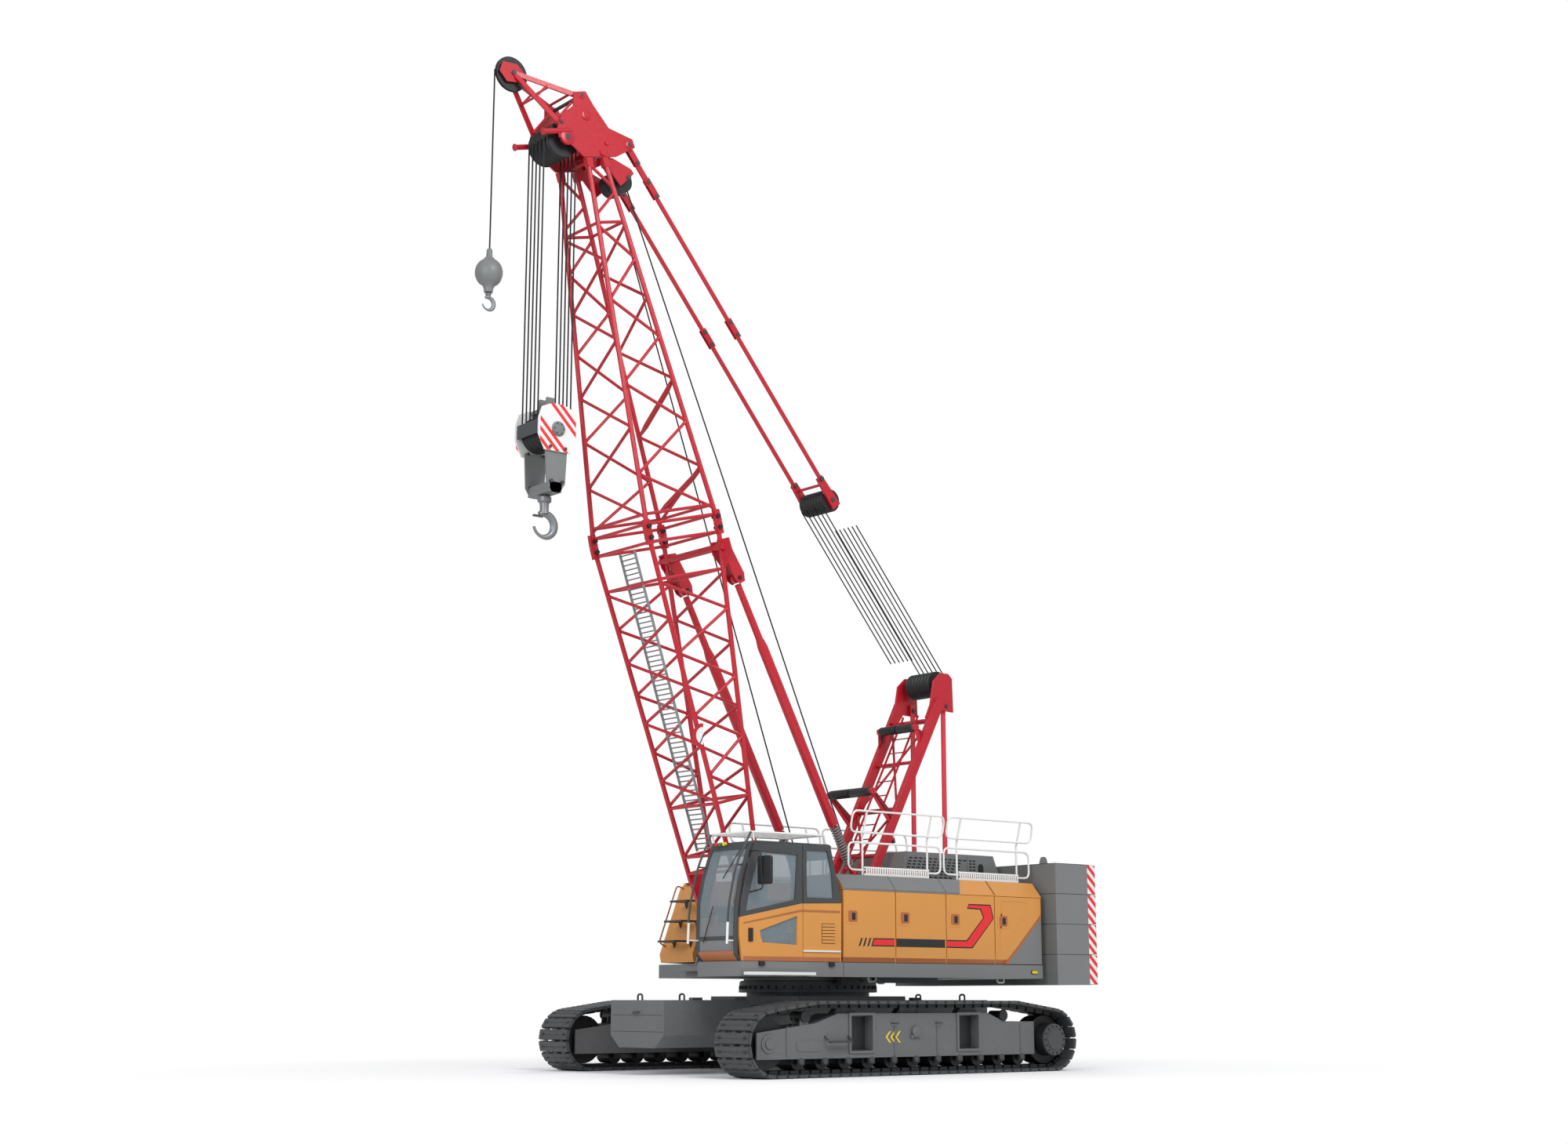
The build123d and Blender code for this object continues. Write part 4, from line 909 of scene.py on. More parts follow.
    # Roller caps, idler hub, carrier rollers and brackets of the top skids
    for i in range(ROLLERS):
        x = (i - ROLLERS // 2) * ROLLER_PITCH
        fit.turn((x, face_y, 0.2385), (0, side, 0),
                 [(0, 0.05), (0.012, 0.05), (0.016, 0.03)], dark, 16)
    fit.turn((HALF, face_y - side * 0.03, WRAP), (0, side, 0),
             [(0, 0.14), (0.045, 0.135), (0.05, 0.08), (0.07, 0.075)], under_grey, 28)
    for x in (2.25, -1.91):
        for y in (centre + side * 0.06, centre + side * 0.22):
            fit.plate([(x - 0.09, 0.72), (x + 0.09, 0.72), (x + 0.06, 0.94), (x - 0.06, 0.94)],
                      y - 0.012, y + 0.012, under_grey)
        fit.turn((x, centre - side * 0.02, 0.89), (0, side, 0),
                 [(0, 0.05), (0, 0.075), (0.26, 0.075), (0.26, 0.09), (0.29, 0.09),
                  (0.295, 0.04)], black, 24)
    for x in (-1.3, 0, 1.3):
        for s in (-1, 1):
            fit.plate([(x + s * 0.17, 0.93), (x + s * 0.24, 0.93), (x + s * 0.17, 1.0)],
                      centre - 0.06, centre + 0.06, dark)
    fit.done()

# Slewing ring bolts and carbody fittings
ring = Piece("slew_ring_bolts", "undercarriage", "dark_paint")
ring.turn((0, 0, 1.252), (0, 0, 1), [(0, 1.14), (0.05, 1.14), (0.055, 1.11)], dark, 72)
ring.turn((0, 0, 1.36), (0, 0, 1), [(0, 1.13), (0.06, 1.13), (0.065, 1.11)], dark, 72)
for k in range(48):
    a = 2 * math.pi * k / 48
    x, y = 1.125 * math.cos(a), 1.125 * math.sin(a)
    ring.bar((x, y, 1.3), (x, y, 1.36), 0.014, black, 6)
ring.done()
carbody = Piece("carbody_fittings", "undercarriage", "grey_paint", bevel=0.002)
for s in (-1, 1):
    for y in (-0.55, 0.55):
        carbody.box(s * 1.8, s * 2.0, y - 0.05, y + 0.05, 1.13, 1.17, under_grey)
        carbody.pipe(rounded([(s * 3.0, y - 0.06, 1.13), (s * 3.0, y - 0.06, 1.22),
                              (s * 3.0, y + 0.06, 1.22), (s * 3.0, y + 0.06, 1.13)], 0.05),
                     0.016, dark, 8)
    for z in (0.65, 0.9):
        carbody.box(s * 3.45, s * 3.452, -0.66, 0.66, z, z + 0.006, black)
carbody.pipe(rounded([(3.45, -0.05, 0.95), (3.52, -0.05, 0.93), (3.52, 0.05, 0.93),
                      (3.45, 0.05, 0.95)], 0.03), 0.014, dark, 8)
carbody.done()


# Houses
DECK, SIDE_Y, REAR_X, DOOR = 1.7063, 1.808, -3.688, 1.1195
TOP_OF_DOOR, BOTTOM_OF_DOOR = 2.83, 1.713
band_low, band_high = 1.965, 2.095


def beside(outline, y, proud, side, piece, mat, low=None, high=None):
    """Thin marking on a side wall, cut to a span of x."""
    if low is not None:
        outline = clip(outline, low, high)
    if len(outline) > 2:
        piece.plate(outline, y, y + side * proud, mat)


def stripes(piece, side, low, high):
    """Plain red band with black edges, three bars ahead of it and a blank dark field in it."""
    y = side * SIDE_Y
    for k in range(3):
        x = 0.42 - k * 0.09
        bar = [(x, band_high), (x - 0.035, band_high), (x + 0.02, band_low),
               (x + 0.055, band_low)]
        beside(bar, y, 0.0015, side, piece, black, low, high)
    legs = [[(0.16, band_high), (-1.9, band_high), (-2.03, band_low), (0.21, band_low)],
            [(-1.9, band_high), (-2.29, 2.47), (-2.54, 2.46), (-2.03, band_low)],
            [(-2.29, 2.47), (-2.22, 2.6), (-2.47, 2.69), (-2.54, 2.46)],
            [(-2.22, 2.6), (-1.92, 2.61), (-1.96, 2.69), (-2.47, 2.69)]]
    inner = [[(0.14, 2.075), (-1.91, 2.075), (-2.02, 1.985), (0.18, 1.985)],
             [(-1.91, 2.075), (-2.315, 2.47), (-2.515, 2.455), (-2.02, 1.985)],
             [(-2.315, 2.47), (-2.24, 2.62), (-2.455, 2.67), (-2.515, 2.455)],
             [(-2.24, 2.62), (-1.94, 2.63), (-1.965, 2.67), (-2.455, 2.67)]]
    for loops, proud, mat in ((legs, 0.0015, black), (inner, 0.0022, stripe_red)):
        for leg in loops:
            beside(leg, y, proud, side, piece, mat, low, high)
    beside([(-0.3, band_high), (-1.4, band_high), (-1.4, band_low), (-0.3, band_low)],
           y, 0.0028, side, piece, black, low, high)


def door_panel(piece, side, x0, x1):
    """Door skin with its crease, and the chamfer at the foot in painted shade."""
    skin = [(1.754, BOTTOM_OF_DOOR), (1.77, BOTTOM_OF_DOOR), (1.799, 1.79), (1.8065, 1.94),
            (SIDE_Y, 1.96), (SIDE_Y, TOP_OF_DOOR), (1.754, TOP_OF_DOOR)]
    loop = [(side * y, z) for y, z in skin]
    middle = (side * 1.754, 1.79)
    for part, mat in ((loop[:3] + [middle], painted_shade_ochre), (loop[2:] + [loop[-1], middle], ochre)):
        piece.prism([(x0, y, z) for y, z in part], (x1 - x0, 0, 0), mat)


def latch(piece, side, x, z):
    """Door latch: raised rim, recess in painted shade and dark handle."""
    y = side * SIDE_Y
    frame_line = rounded([(x - 0.13, 0, z - 0.12), (x + 0.13, 0, z - 0.12), (x + 0.13, 0, z + 0.12),
                          (x - 0.13, 0, z + 0.12)], 0.05, 4, True)
    piece.prism([(p.x, y, p.z) for p in frame_line], (0, side * 0.006, 0), ochre)
    hole = [(p.x * 0.75 + x * 0.25, y + side * 0.0062, p.z * 0.75 + z * 0.25) for p in frame_line]
    piece.prism(hole, (0, side * 0.001, 0), painted_shade_ochre)
    piece.box(x - 0.05, x + 0.02, y + side * 0.007, y + side * 0.012, z - 0.055, z + 0.055, black)


for side, names in ((1, ("left_4", "left_3", "left_2", "left_1")),
                    (-1, (None, "right_2", "right_1", None))):
    for i, name in enumerate(names):
        if name is None:
            continue
        x0 = REAR_X + i * DOOR + 0.0035
        x1 = REAR_X + (i + 1) * DOOR - 0.0035
        door = Piece("house_panel_" + name, "door_" + name, "ochre_paint", "house_door_" + name)
        door_panel(door, side, x0 + 0.012, x1)
        door.box(x0, x0 + 0.0121, side * 1.754, side * 1.7955, BOTTOM_OF_DOOR, TOP_OF_DOOR, ochre)
        latch(door, side, x1 - 0.19, 2.425)
        stripes(door, side, x0 + 0.03, x1)
        if name == "left_4":
            y = SIDE_Y
            # Grey rear corner, a strip of painted shade along its edge and the raised rim ahead of
            # it
            door.plate([(x0 + 0.013, 2.5), (-2.85, 1.72), (x0 + 0.013, 1.72)], y - 0.04, y + 0.002,
                       grey)
            door.plate([(x0 + 0.013, 2.56), (x0 + 0.013, 2.5), (-2.85, 1.72), (-2.78, 1.72)],
                       y - 0.04, y + 0.003, painted_shade_ochre)
            outer = [(-2.72, 2.78), (-3.36, 2.78), (-3.33, 2.57), (-2.66, 1.93)]
            inner = [(-2.75, 2.755), (-3.33, 2.755), (-3.3, 2.585), (-2.69, 2.0)]
            door.window(outer, inner, y, y + 0.006, ochre)
        door.done()

band = Piece("house_bands", "upper", "grey_paint")
for side in (-1, 1):
    # Grey band on the sloping shoulder, ending in a slant, with the seams of the panels
    def shoulder(x, f):
        return (x, side * (1.811 - 0.208 * f), 2.853 + 0.24 * f)
    band.prism([shoulder(0.785, 0.02), shoulder(0.785, 0.98), shoulder(-1.95, 0.98),
                shoulder(-1.76, 0.02)], (0, side * 0.003, 0.003), grey)
    for i in (1, 2, 3):
        x = REAR_X + i * DOOR
        band.prism([shoulder(x - 0.004, 0), shoulder(x + 0.004, 0), shoulder(x + 0.004, 1),
                    shoulder(x - 0.004, 1)], (0, side * 0.004, 0.004), black)
    y = side * SIDE_Y
    band.plate([(0.785, 2.833), (-1.74, 2.833), (-1.76, 2.853), (0.785, 2.853)], y,
               y + side * 0.003, grey)
    # Chequered roof walkway
    band.box(REAR_X + 0.05, 0.75, side * 0.95, side * 1.56, 3.09, 3.094, dark)
    # Marker lamp and frame seam on the revolving frame's side
    lamp_line = rounded([(-3.56, y, 1.56), (-3.40, y, 1.56), (-3.40, y, 1.62), (-3.56, y, 1.62)],
                        0.03, 4, True)
    band.prism(lamp_line, (0, side * 0.008, 0), black)
    band.prism([(p.x * 0.8 - 3.48 * 0.2, p.y + side * 0.009, p.z * 0.75 + 1.59 * 0.25)
                for p in lamp_line], (0, side * 0.012, 0), yellow)
    band.box(0.789, 0.797, y, y + side * 0.002, 1.486, 1.704, black)
stripes(band, -1, 0.0, 0.75)
# Under-frame fittings and the white tie-down hooks
for x in (0.0, -2.9):
    for side in (-1, 1):
        band.pipe(rounded([(x, side * 1.5, 1.484), (x, side * 1.5, 1.42), (x - 0.16, side * 1.5,
                           1.42), (x - 0.16, side * 1.5, 1.484)], 0.05), 0.016, white, 8)
band.box(-1.6, -0.25, 1.3, 1.42, 1.4, 1.484, dark)
band.box(0.1, 0.5, 1.3, 1.42, 1.37, 1.484, black)
band.done()

# Engine hood slots and arch, drawn as black plates of painted shade
hood = Piece("hood_openings", "upper", "dark_paint")
for side in (-1, 1):
    y = side * 0.8
    for row in range(7):
        z = 3.5 - row * 0.052
        slant = 0.02 * row
        for k in range(12):
            x = -1.56 + slant - k * 0.115
            if x < -2.86 + slant * 3:
                continue
            hood.plate([(x, z), (x - 0.075, z), (x - 0.09, z - 0.026), (x - 0.015, z - 0.026)],
                       y, y + side * 0.0015, black)
        for k in range(2):
            x = -2.98 - k * 0.085
            hood.plate([(x, z), (x - 0.06, z), (x - 0.06, z - 0.026), (x, z - 0.026)], y,
                       y + side * 0.0015, black)
    arch = [(-3.19, 3.2), (-3.19, 3.38)]
    for k in range(1, 8):
        a = math.pi * k / 8
        arch.append((-3.255 + 0.065 * math.cos(a), 3.38 + 0.065 * math.sin(a)))
    arch += [(-3.32, 3.38), (-3.32, 3.2)]
    hood.plate(arch, y, y + side * 0.002, black)
    for x in (-2.93, -1.52):
        hood.box(x, x + 0.006, y, y + side * 0.002, 3.1, 3.585, dark)
hood.done()

# Handrails and toe boards
rails = Piece("handrails", "upper", "grey_paint")
for side in (-1, 1):
    for x0, x1 in ((0.41, -1.62), (-1.70, -3.72)):
        for lean_y, z0, z1 in ((0.0, 3.18, 3.62), (0.12, 3.78, 4.12)):
            y0 = side * (1.5 + lean_y * 0.4)
            y1 = side * (1.5 + lean_y)
            rails.pipe(rounded([(x0, y0, z0), (x1, y0, z0), (x1, y1, z1), (x0, y1, z1)], 0.12, 5,
                               True), 0.017, white, 8, True)
        for x in (x0 - 0.3, x1 + 0.3):
            rails.pipe([(x, side * 1.5, 3.09), (x, side * 1.5, 3.7), (x, side * 1.62, 4.12)],
                       0.017, white, 8)
        rails.box(x1 + 0.3, x0 - 0.3, side * 1.53, side * 1.545, 3.0945, 3.13, white)
        rails.box(x1 + 0.3, x0 - 0.3, side * 1.53, side * 1.545, 3.21, 3.235, white)
        count = int((x0 - x1 - 0.6) / 0.05)
        for k in range(count):
            x = x1 + 0.31 + k * 0.05
            rails.box(x, x + 0.026, side * 1.531, side * 1.544, 3.13, 3.21, white)
rails.done()

# Step box at the front right
box = Piece("front_step_box", "upper", "ochre_paint", "step_box", bevel=0.006)
box.plate([(0.7903, DECK), (1.68, DECK + 0.03), (1.71, 1.87), (1.29, 2.98), (1.2, 3.06),
           (0.7903, 3.06)], -1.808, -0.9003, ochre)
for z, x in ((2.739, 1.767), (2.407, 1.886), (2.08, 2.01)):
    box.box(x - 0.24, x, -1.45, -1.0, z - 0.012, z + 0.012, dark)
    for y in (-1.45, -1.0):
        box.plate([(x - 0.35, z - 0.15), (x - 0.3, z - 0.02), (x, z - 0.02), (x, z + 0.012),
                   (x - 0.4, z + 0.012)], y - 0.01, y + 0.01, dark)
# Grab handle in the painted shade ochre
box.pipe(rounded([(1.72, -1.62, 2.0), (1.86, -1.62, 2.06), (1.5, -1.62, 3.02),
                  (1.36, -1.62, 2.96)], 0.08), 0.014, painted_shade_ochre, 8)
box.box(0.9, 1.28, -1.75, -0.95, 3.06, 3.064, dark)
box.done()
decks = Piece("front_platforms", "upper", "grey_paint", bevel=0.003)
decks.box(1.95, 2.1, -0.75, 0.6, 1.58, 1.66, grey)
decks.box(1.5, 2.83, 1.86, 1.98, 1.5, 1.548, white)
for x in (1.6, 2.2, 2.75):
    decks.box(x - 0.03, x + 0.03, 1.8, 1.88, 1.51, 1.53, black)
decks.done()

# Cab
NEAR, FAR, SKIN = 1.808, 0.79, 0.05
cab = Piece("cab_frame", "upper", "dark_paint", "cab_shell", bevel=0.006)
doors = Piece("cab_door_skin", "upper", "ochre_paint", "cab_door", bevel=0.004)
panes = Piece("cab_panes", "upper", "glass", "cab_glass")
door_top = [(1.625, 3.5), (2.59, 3.48), (2.73, 3.05), (2.84, 2.6), (2.865, 2.362), (1.625, 2.6)]
door_win = [(1.73, 3.34), (2.47, 3.365), (2.6, 3.0), (2.71, 2.62), (2.74, 2.45), (1.78, 2.645)]
rear_top = [(1.05, 3.5), (1.615, 3.5), (1.615, 2.6), (0.825, 2.625), (0.84, 2.75), (0.95, 3.1)]
rear_win = [(1.12, 3.42), (1.54, 3.42), (1.54, 2.69), (0.99, 2.69), (1.0, 2.76), (1.03, 3.1)]
low_door = [(1.625, 2.598), (2.865, 2.36), (2.87, 2.1), (2.82, 1.712), (1.625, 1.712)]
low_win = [(1.74, 2.4), (2.47, 2.17), (2.46, 2.08), (2.42, 1.99), (1.74, 1.96)]
for y0, y1 in ((NEAR - SKIN, NEAR), (FAR, FAR + SKIN)):
    target = doors if y1 == NEAR else cab
    cab.window(door_top, door_win, y0, y1, dark)
    cab.window(rear_top, rear_win, y0, y1, dark)
    target.window(low_door, low_win, y0, y1, ochre)
    doors.plate([(0.83, 2.62), (1.615, 2.595), (1.615, 1.712), (0.84, 1.712)], y0, y1, ochre)
    middle = (y0 + y1) / 2
    for loop in (door_win, rear_win, low_win):
        panes.plate(loop, middle - 0.003, middle + 0.003, glass)
# Vent slats over a black plate of painted shade, a crease in painted shade, handle and slide rail
# on the near side
doors.plate([(0.97, 2.3), (1.24, 2.3), (1.24, 1.99), (0.97, 1.99)], NEAR, NEAR + 0.002, black)
for k in range(6):
    z = 2.0 + k * 0.05
    doors.box(0.975, 1.235, NEAR + 0.002, NEAR + 0.014, z, z + 0.04, ochre)
ridge = [(0.86, 2.5), (1.66, 2.5), (2.8, 2.28), (2.8, 2.26), (1.66, 2.47), (0.86, 2.47)]
doors.plate(ridge, NEAR, NEAR + 0.006, painted_shade_ochre)
doors.box(2.62, 2.7, NEAR, NEAR + 0.02, 2.0, 2.2, black)
doors.box(0.86, 1.62, NEAR, NEAR + 0.02, 1.86, 1.885, white)
# Foot of the near side in painted shade
doors.box(0.86, 2.8, NEAR, NEAR + 0.003, 1.712, 1.78, painted_shade_ochre)
# Windscreen, pillars, roof, floor and rear wall
front_line = [(2.83, 1.71), (2.92, 1.81), (2.925, 2.1), (2.91, 2.59), (2.83, 2.95), (2.72, 3.27),
              (2.63, 3.48)]
inner_line = [(x - 0.05, z) for x, z in front_line][::-1]
for y0, y1 in ((FAR, FAR + 0.07), (NEAR - 0.09, NEAR - 0.03)):
    cab.plate(front_line + inner_line, y0, y1, dark)
# Sill under the windscreen in painted shade ochre
cab.plate([front_line[0], front_line[1], (2.922, 1.86), (2.872, 1.86)] + inner_line[-2:],
          FAR + 0.07, NEAR - 0.09, painted_shade_ochre)
pane = [(2.91, 1.862)] + [(x - 0.012, z) for x, z in front_line[2:]]
panes.plate(pane + [(x - 0.008, z) for x, z in pane[::-1]], FAR + 0.075, NEAR - 0.095, glass)
for z, depth in ((2.05, 0.03), (3.4, 0.06)):
    x = 2.925 if z < 3 else 2.66
    cab.box(x - 0.06, x - 0.005, FAR + 0.06, NEAR - 0.08, z - depth, z + depth, dark)
cab.plate([(1.04, 3.47), (2.63, 3.46), (2.6, 3.52), (2.5, 3.53), (1.06, 3.53), (1.0, 3.5)],
          FAR, NEAR - 0.03, dark)
cab.plate([(0.84, 1.7065), (2.83, 1.7065), (2.83, 1.76), (0.84, 1.76)], FAR + SKIN, NEAR - SKIN,
          dark)
cab.plate([(0.84, 1.76), (0.89, 1.76), (0.87, 2.66), (0.82, 2.63)], FAR + SKIN, NEAR - SKIN, ochre)
cab.plate([(1.0, 3.3), (1.05, 3.3), (1.09, 3.5), (1.04, 3.5)], FAR + SKIN, NEAR - SKIN, dark)
panes.plate([(0.84, 2.66), (0.85, 2.66), (1.01, 3.3), (1.0, 3.3)], FAR + 0.06, NEAR - 0.06, glass)
# Consoles, screen, levers and wipers
for y in (0.88, 1.58):
    cab.box(1.9, 2.25, y, y + 0.12, 1.76, 2.35, black)
cab.box(2.55, 2.62, 0.95, 1.25, 2.3, 2.55, black)
for y in (0.94, 1.64):
    cab.bar((2.05, y, 2.35), (2.08, y, 2.55), 0.012, dark, 8)
    cab.turn((2.08, y, 2.53), (0, 0, 1), [(0, 0.02), (0.03, 0.032), (0.07, 0.02)], black, 12)
cab.pipe([(2.94, 1.0, 1.99), (2.945, 1.25, 2.54)], 0.009, black, 6)
cab.pipe([(2.69, 1.6, 3.4), (2.84, 1.35, 2.95)], 0.009, black, 6)
# Light strip above the windscreen, and the brackets under the cab
for k, mat in enumerate((stripe_red, green, yellow)):
    cab.bar((2.66, 1.0 + k * 0.1, 3.5), (2.72, 1.0 + k * 0.1, 3.49), 0.028, mat, 12)
for x in (1.0, 2.4):
    cab.box(x, x + 0.1, NEAR - 0.02, NEAR + 0.04, 1.64, 1.71, black)
cab.done()
doors.done()
panes.done()

guard = Piece("cab_guard_frame", "upper", "dark_paint")
roof = [(2.685, 0.85, 3.655), (2.61, 1.75, 3.658), (1.16, 1.75, 3.669), (1.16, 0.85, 3.669)]
guard.pipe(rounded(roof, 0.06, 3, True), 0.018, white, 8, True)
for k in range(1, 11):
    f = k / 11
    guard.bar((2.68 - 1.52 * f, 0.85, 3.66), (2.61 - 1.45 * f, 1.75, 3.66), 0.008, white, 6)
for x, y, z in roof:
    guard.bar((x - 0.06, y, 3.53), (x - 0.03, y, z), 0.014, white, 8)
for points in (((2.685, 0.85, 3.655), (2.944, 0.85, 3.145), (3.1, 0.85, 2.5), (3.12, 0.85, 1.975)),
               ((2.61, 1.75, 3.658), (2.876, 1.72, 3.152), (3.02, 1.72, 2.5), (3.041, 1.72, 1.96))):
    guard.pipe(rounded(points, 0.2), 0.018, dark, 8)
    guard.bar(points[3], Vector(points[3]).lerp(Vector(points[2]), 0.6), 0.0195, white, 8)
    x, y, z = points[3]
    guard.bar((x, y, z + 0.05), (2.9, y, z + 0.05), 0.012, white, 8)
    x, y, z = points[1]
    guard.bar((x, y, z), (x - 0.19, y, z), 0.012, dark, 8)
guard.done()
mirror = Piece("cab_mirror_set", "upper", "dark_paint", bevel=0.006)
mirror.prism([(2.6, 2.2, 3.25), (2.6, 2.2, 2.88), (2.6, 2.17, 2.85), (2.6, 1.93, 2.85),
              (2.6, 1.9, 2.88), (2.6, 1.9, 3.25), (2.6, 1.93, 3.28), (2.6, 2.17, 3.28)],
             (-0.06, 0, 0), black)
mirror.prism([(2.539, 2.18, 3.25), (2.539, 2.18, 2.88), (2.539, 1.92, 2.88),
              (2.539, 1.92, 3.25)], (-0.004, 0, 0), hook_steel)
mirror.pipe(rounded([(2.66, 1.79, 3.36), (2.64, 2.02, 3.36), (2.59, 2.02, 2.78),
                     (2.66, 1.79, 2.74)], 0.06), 0.012, black, 8)
mirror.done()

# Counterweight: rear end of each tier, hazard bands, seams and lifting lugs
tail = Piece("counterweight_tail", "upper", "grey_paint")
SLAB_REAR, TAIL_REAR, WHITE_FROM = -4.6643, -4.84, -4.615
TIERS, TIER_BASE, TIER_HEIGHT = 4, 1.382, 0.511
for i in range(TIERS):
    z0 = TIER_BASE + i * TIER_HEIGHT
    tail.prism([(SLAB_REAR, -2.03, z0 + 0.006), (SLAB_REAR, 2.03, z0 + 0.006),
                (TAIL_REAR + 0.03, 2.03, z0 + 0.006), (TAIL_REAR, 2.0, z0 + 0.006),
                (TAIL_REAR, -2.0, z0 + 0.006), (TAIL_REAR + 0.03, -2.03, z0 + 0.006)],
               (0, 0, 0.499), grey)
    for side in (-1, 1):
        y = side * 2.0302
        tail.box(TAIL_REAR + 0.03, WHITE_FROM, y, y + side * 0.001, z0 + 0.012, z0 + 0.5, white)
        for k in range(4):
            z = z0 - 0.02 + k * 0.17
            low, high = z0 + 0.012, z0 + 0.5
            band = [(WHITE_FROM, z + 0.14), (WHITE_FROM, z + 0.225), (TAIL_REAR + 0.03, z + 0.045),
                    (TAIL_REAR + 0.03, z - 0.04)]
            turned = clip([(q, p) for p, q in band], low, high)
            if len(turned) > 2:
                tail.plate([(p, q) for q, p in turned], y + side * 0.001, y + side * 0.0022,
                           stripe_red)
        tail.box(SLAB_REAR, -3.819, side * 2.0301, side * 2.0312, z0 + 0.505, z0 + 0.513, black)
    tail.box(-3.8188, -3.8176, -2.03, 2.03, z0 + 0.505, z0 + 0.513, black)
for y in (-1.35, 1.35):
    tail.plate([(-4.35, 3.426), (-4.15, 3.426), (-4.19, 3.55), (-4.22, 3.58), (-4.28, 3.58),
                (-4.31, 3.55)], y - 0.02, y + 0.02, grey)
tail.done()

# Operator's seat
def cushion(name, lo, hi, crown, lean_x=0.0):
    """Crowned cushion with pulled-in sides and two sewn channels."""
    shape = bmesh.new()
    bmesh.ops.create_cube(shape, size=1.0)
    bmesh.ops.subdivide_edges(shape, edges=shape.edges[:], cuts=11, use_grid_fill=True)
    low, high = Vector(lo), Vector(hi)
    for vertex in shape.verts:
        u, v, w = (c * 2 for c in vertex.co)
        pull = 1 - 0.08 * abs(w) ** 3
        round_u = u * (1 - 0.05 * v * v) * pull
        round_v = v * (1 - 0.05 * u * u) * pull
        swell = w * (1 + crown * (1 - u * u) * (1 - v * v))
        channel = 0.06 * sum(math.exp(-((v - c) / 0.05) ** 2) for c in (-0.45, 0.45))
        swell *= 1 - channel
        x = (low.x + high.x) / 2 + round_u * (high.x - low.x) / 2 * 0.97
        y = (low.y + high.y) / 2 + round_v * (high.y - low.y) / 2 * 0.97
        z = (low.z + high.z) / 2 + swell * (high.z - low.z) / 2 / (1 + crown)
        if lean_x:
            x += lean_x * (z - low.z)
        vertex.co = (x, y, z)
    data = bpy.data.meshes.new(name)
    shape.to_mesh(data)
    shape.free()
    data.materials.append(cloth)
    data.polygons.foreach_set("use_smooth", [True] * len(data.polygons))
    item = add_object(name, data)
    smooth = item.modifiers.new("round", "SUBSURF")
    smooth.levels = smooth.render_levels = 1
    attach(item, "upper")
    return item


squab = cushion("seat_squab", (1.27, 1.06, 1.98), (1.74, 1.54, 2.15), 0.25)
cushion("seat_back_rest", (1.16, 1.07, 2.17), (1.29, 1.53, 2.84), 0.06)
cushion("seat_head_rest", (1.17, 1.18, 2.62), (1.27, 1.42, 2.84), 0.1)
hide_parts("operator_seat")
base_seat = Piece("seat_base", "upper", "dark_paint", bevel=0.01)
base_seat.box(1.3, 1.7, 1.1, 1.5, 1.7616, 1.97, black)
base_seat.box(1.15, 1.2, 1.12, 1.48, 1.9, 2.8, black)
base_seat.done()

# Camera, fitted to the photograph
LENS, EYE = 48.567, (22.924, 27.176, 1.125)
TURN, CLIMB = math.radians(50.484), math.radians(11.446)
camera = add_object("camera", bpy.data.cameras.new("camera"))
camera.data.sensor_width = 36.0
camera.data.lens = LENS
camera.data.clip_end = 300
look = Vector((-math.cos(CLIMB) * math.cos(TURN), -math.cos(CLIMB) * math.sin(TURN),
               math.sin(CLIMB)))
camera.location = EYE
camera.rotation_mode = "QUATERNION"
camera.rotation_quaternion = look.to_track_quat("-Z", "Y")
bpy.context.scene.camera = camera
bpy.context.scene.view_settings.view_transform = "Standard"

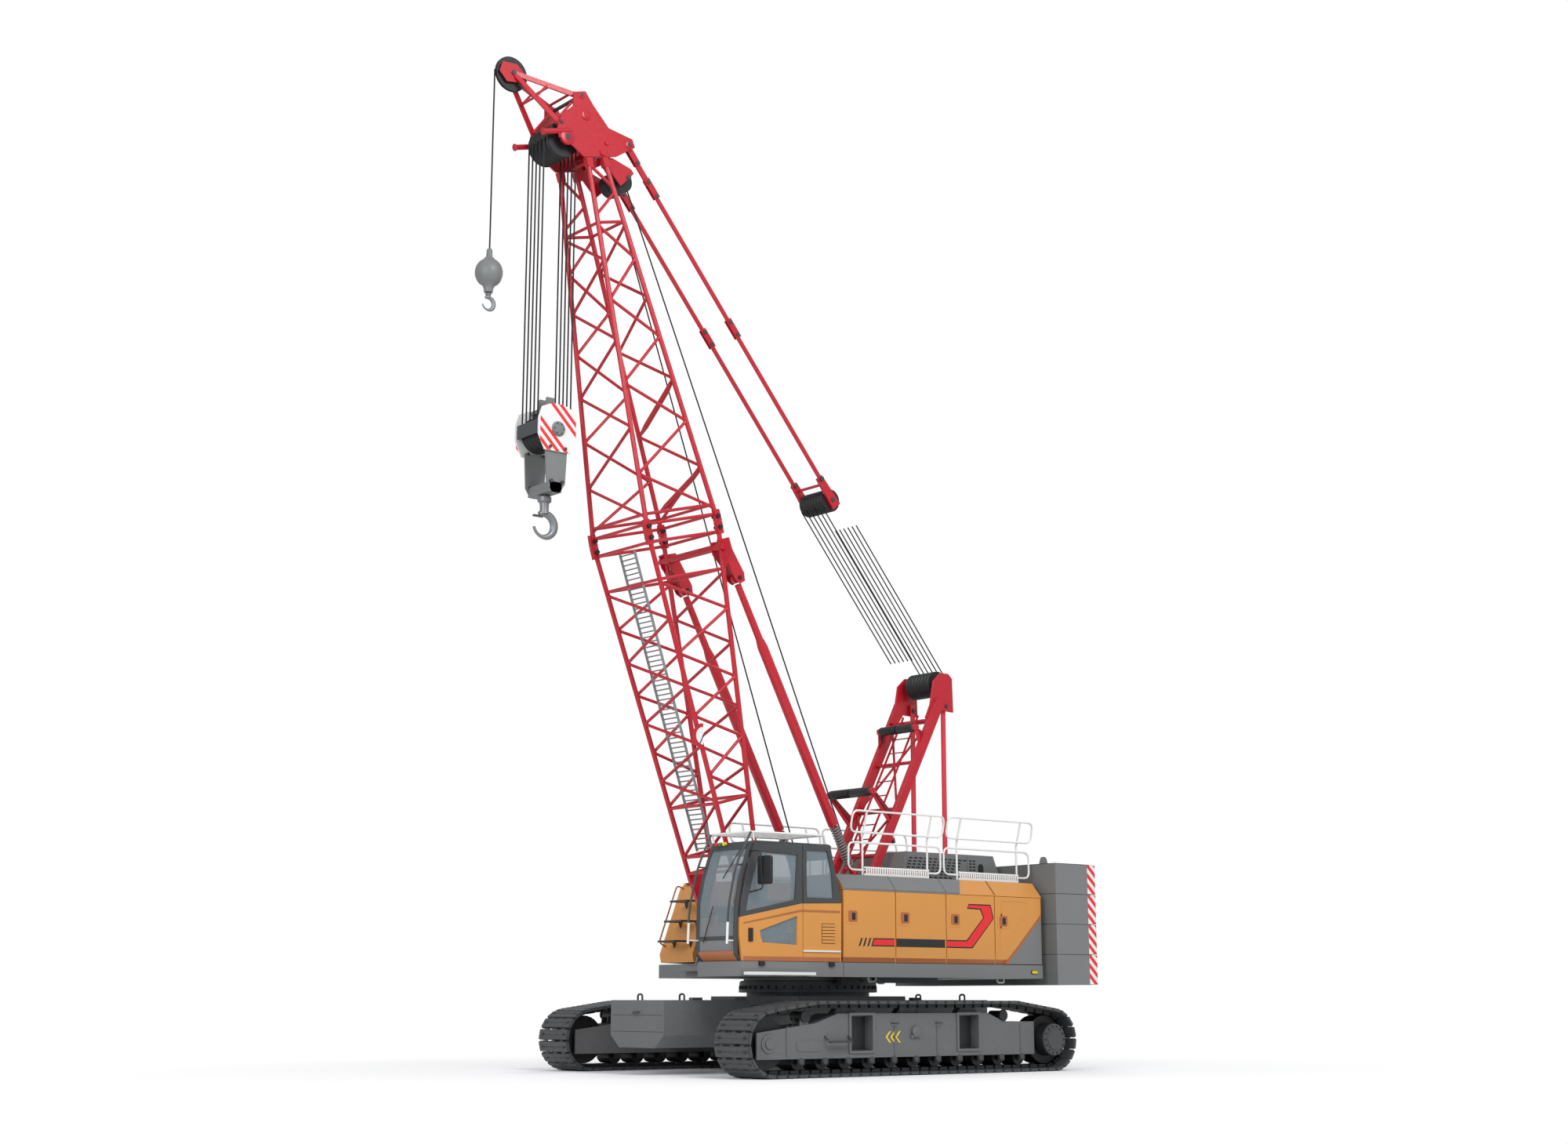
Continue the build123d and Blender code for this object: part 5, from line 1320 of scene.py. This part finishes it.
# Floor and world
world = bpy.data.worlds.new("studio")
bpy.context.scene.world = world
world.use_nodes = True
tree = world.node_tree
background = tree.nodes["Background"]
background.inputs["Color"].default_value = (0.9, 0.92, 0.95, 1)
background.inputs["Strength"].default_value = 0.62
plain = add_node(tree, "Background", {"Color": (1, 1, 1, 1), "Strength": 1.0})
rays = add_node(tree, "LightPath")
mixer = add_node(tree, "MixShader")
tree.links.new(rays.outputs["Is Camera Ray"], mixer.inputs["Fac"])
tree.links.new(background.outputs["Background"], mixer.inputs[1])
tree.links.new(plain.outputs["Background"], mixer.inputs[2])
tree.links.new(mixer.outputs["Shader"], tree.nodes["World Output"].inputs["Surface"])

bpy.ops.mesh.primitive_circle_add(vertices=96, radius=16, fill_type="NGON")
floor = bpy.context.object
floor.name = "floor"
floor_mat = bpy.data.materials.new("floor")
floor_mat.use_nodes = True
tree = floor_mat.node_tree
matte = tree.nodes["Principled BSDF"]
matte.inputs["Base Color"].default_value = (0.93, 0.93, 0.93, 1)
matte.inputs["Roughness"].default_value = 0.9
matte.inputs["Specular IOR Level"].default_value = 0.0
# The floor fades into the white backdrop away from the machine
spot = add_node(tree, "TexCoord")
length = add_node(tree, "VectorMath")
length.operation = "LENGTH"
fade = add_node(tree, "MapRange", {"From Min": 4.0, "From Max": 11.0})
glow = add_node(tree, "Emission", {"Color": (1, 1, 1, 1), "Strength": 1.0})
blend = add_node(tree, "MixShader")
tree.links.new(spot.outputs["Object"], length.inputs[0])
tree.links.new(length.outputs["Value"], fade.inputs["Value"])
tree.links.new(fade.outputs["Result"], blend.inputs["Fac"])
tree.links.new(matte.outputs["BSDF"], blend.inputs[1])
tree.links.new(glow.outputs["Emission"], blend.inputs[2])
tree.links.new(blend.outputs["Shader"], tree.nodes["Material Output"].inputs["Surface"])
floor.data.materials.append(floor_mat)


def lamp(name, place, target, size, power):
    """Soft square lamp at place, facing target."""
    light = bpy.data.lights.new(name, "AREA")
    light.size = size
    light.energy = power
    item = add_object(name, light)
    item.location = place
    item.rotation_mode = "QUATERNION"
    item.rotation_quaternion = (Vector(target) - Vector(place)).to_track_quat("-Z", "Y")


lamp("key", (4, 26, 24), (0, 0, 5), 14, 5200)
lamp("front", (26, 10, 14), (0, 0, 5), 12, 2400)
lamp("back", (-20, -14, 20), (0, 0, 6), 12, 1800)
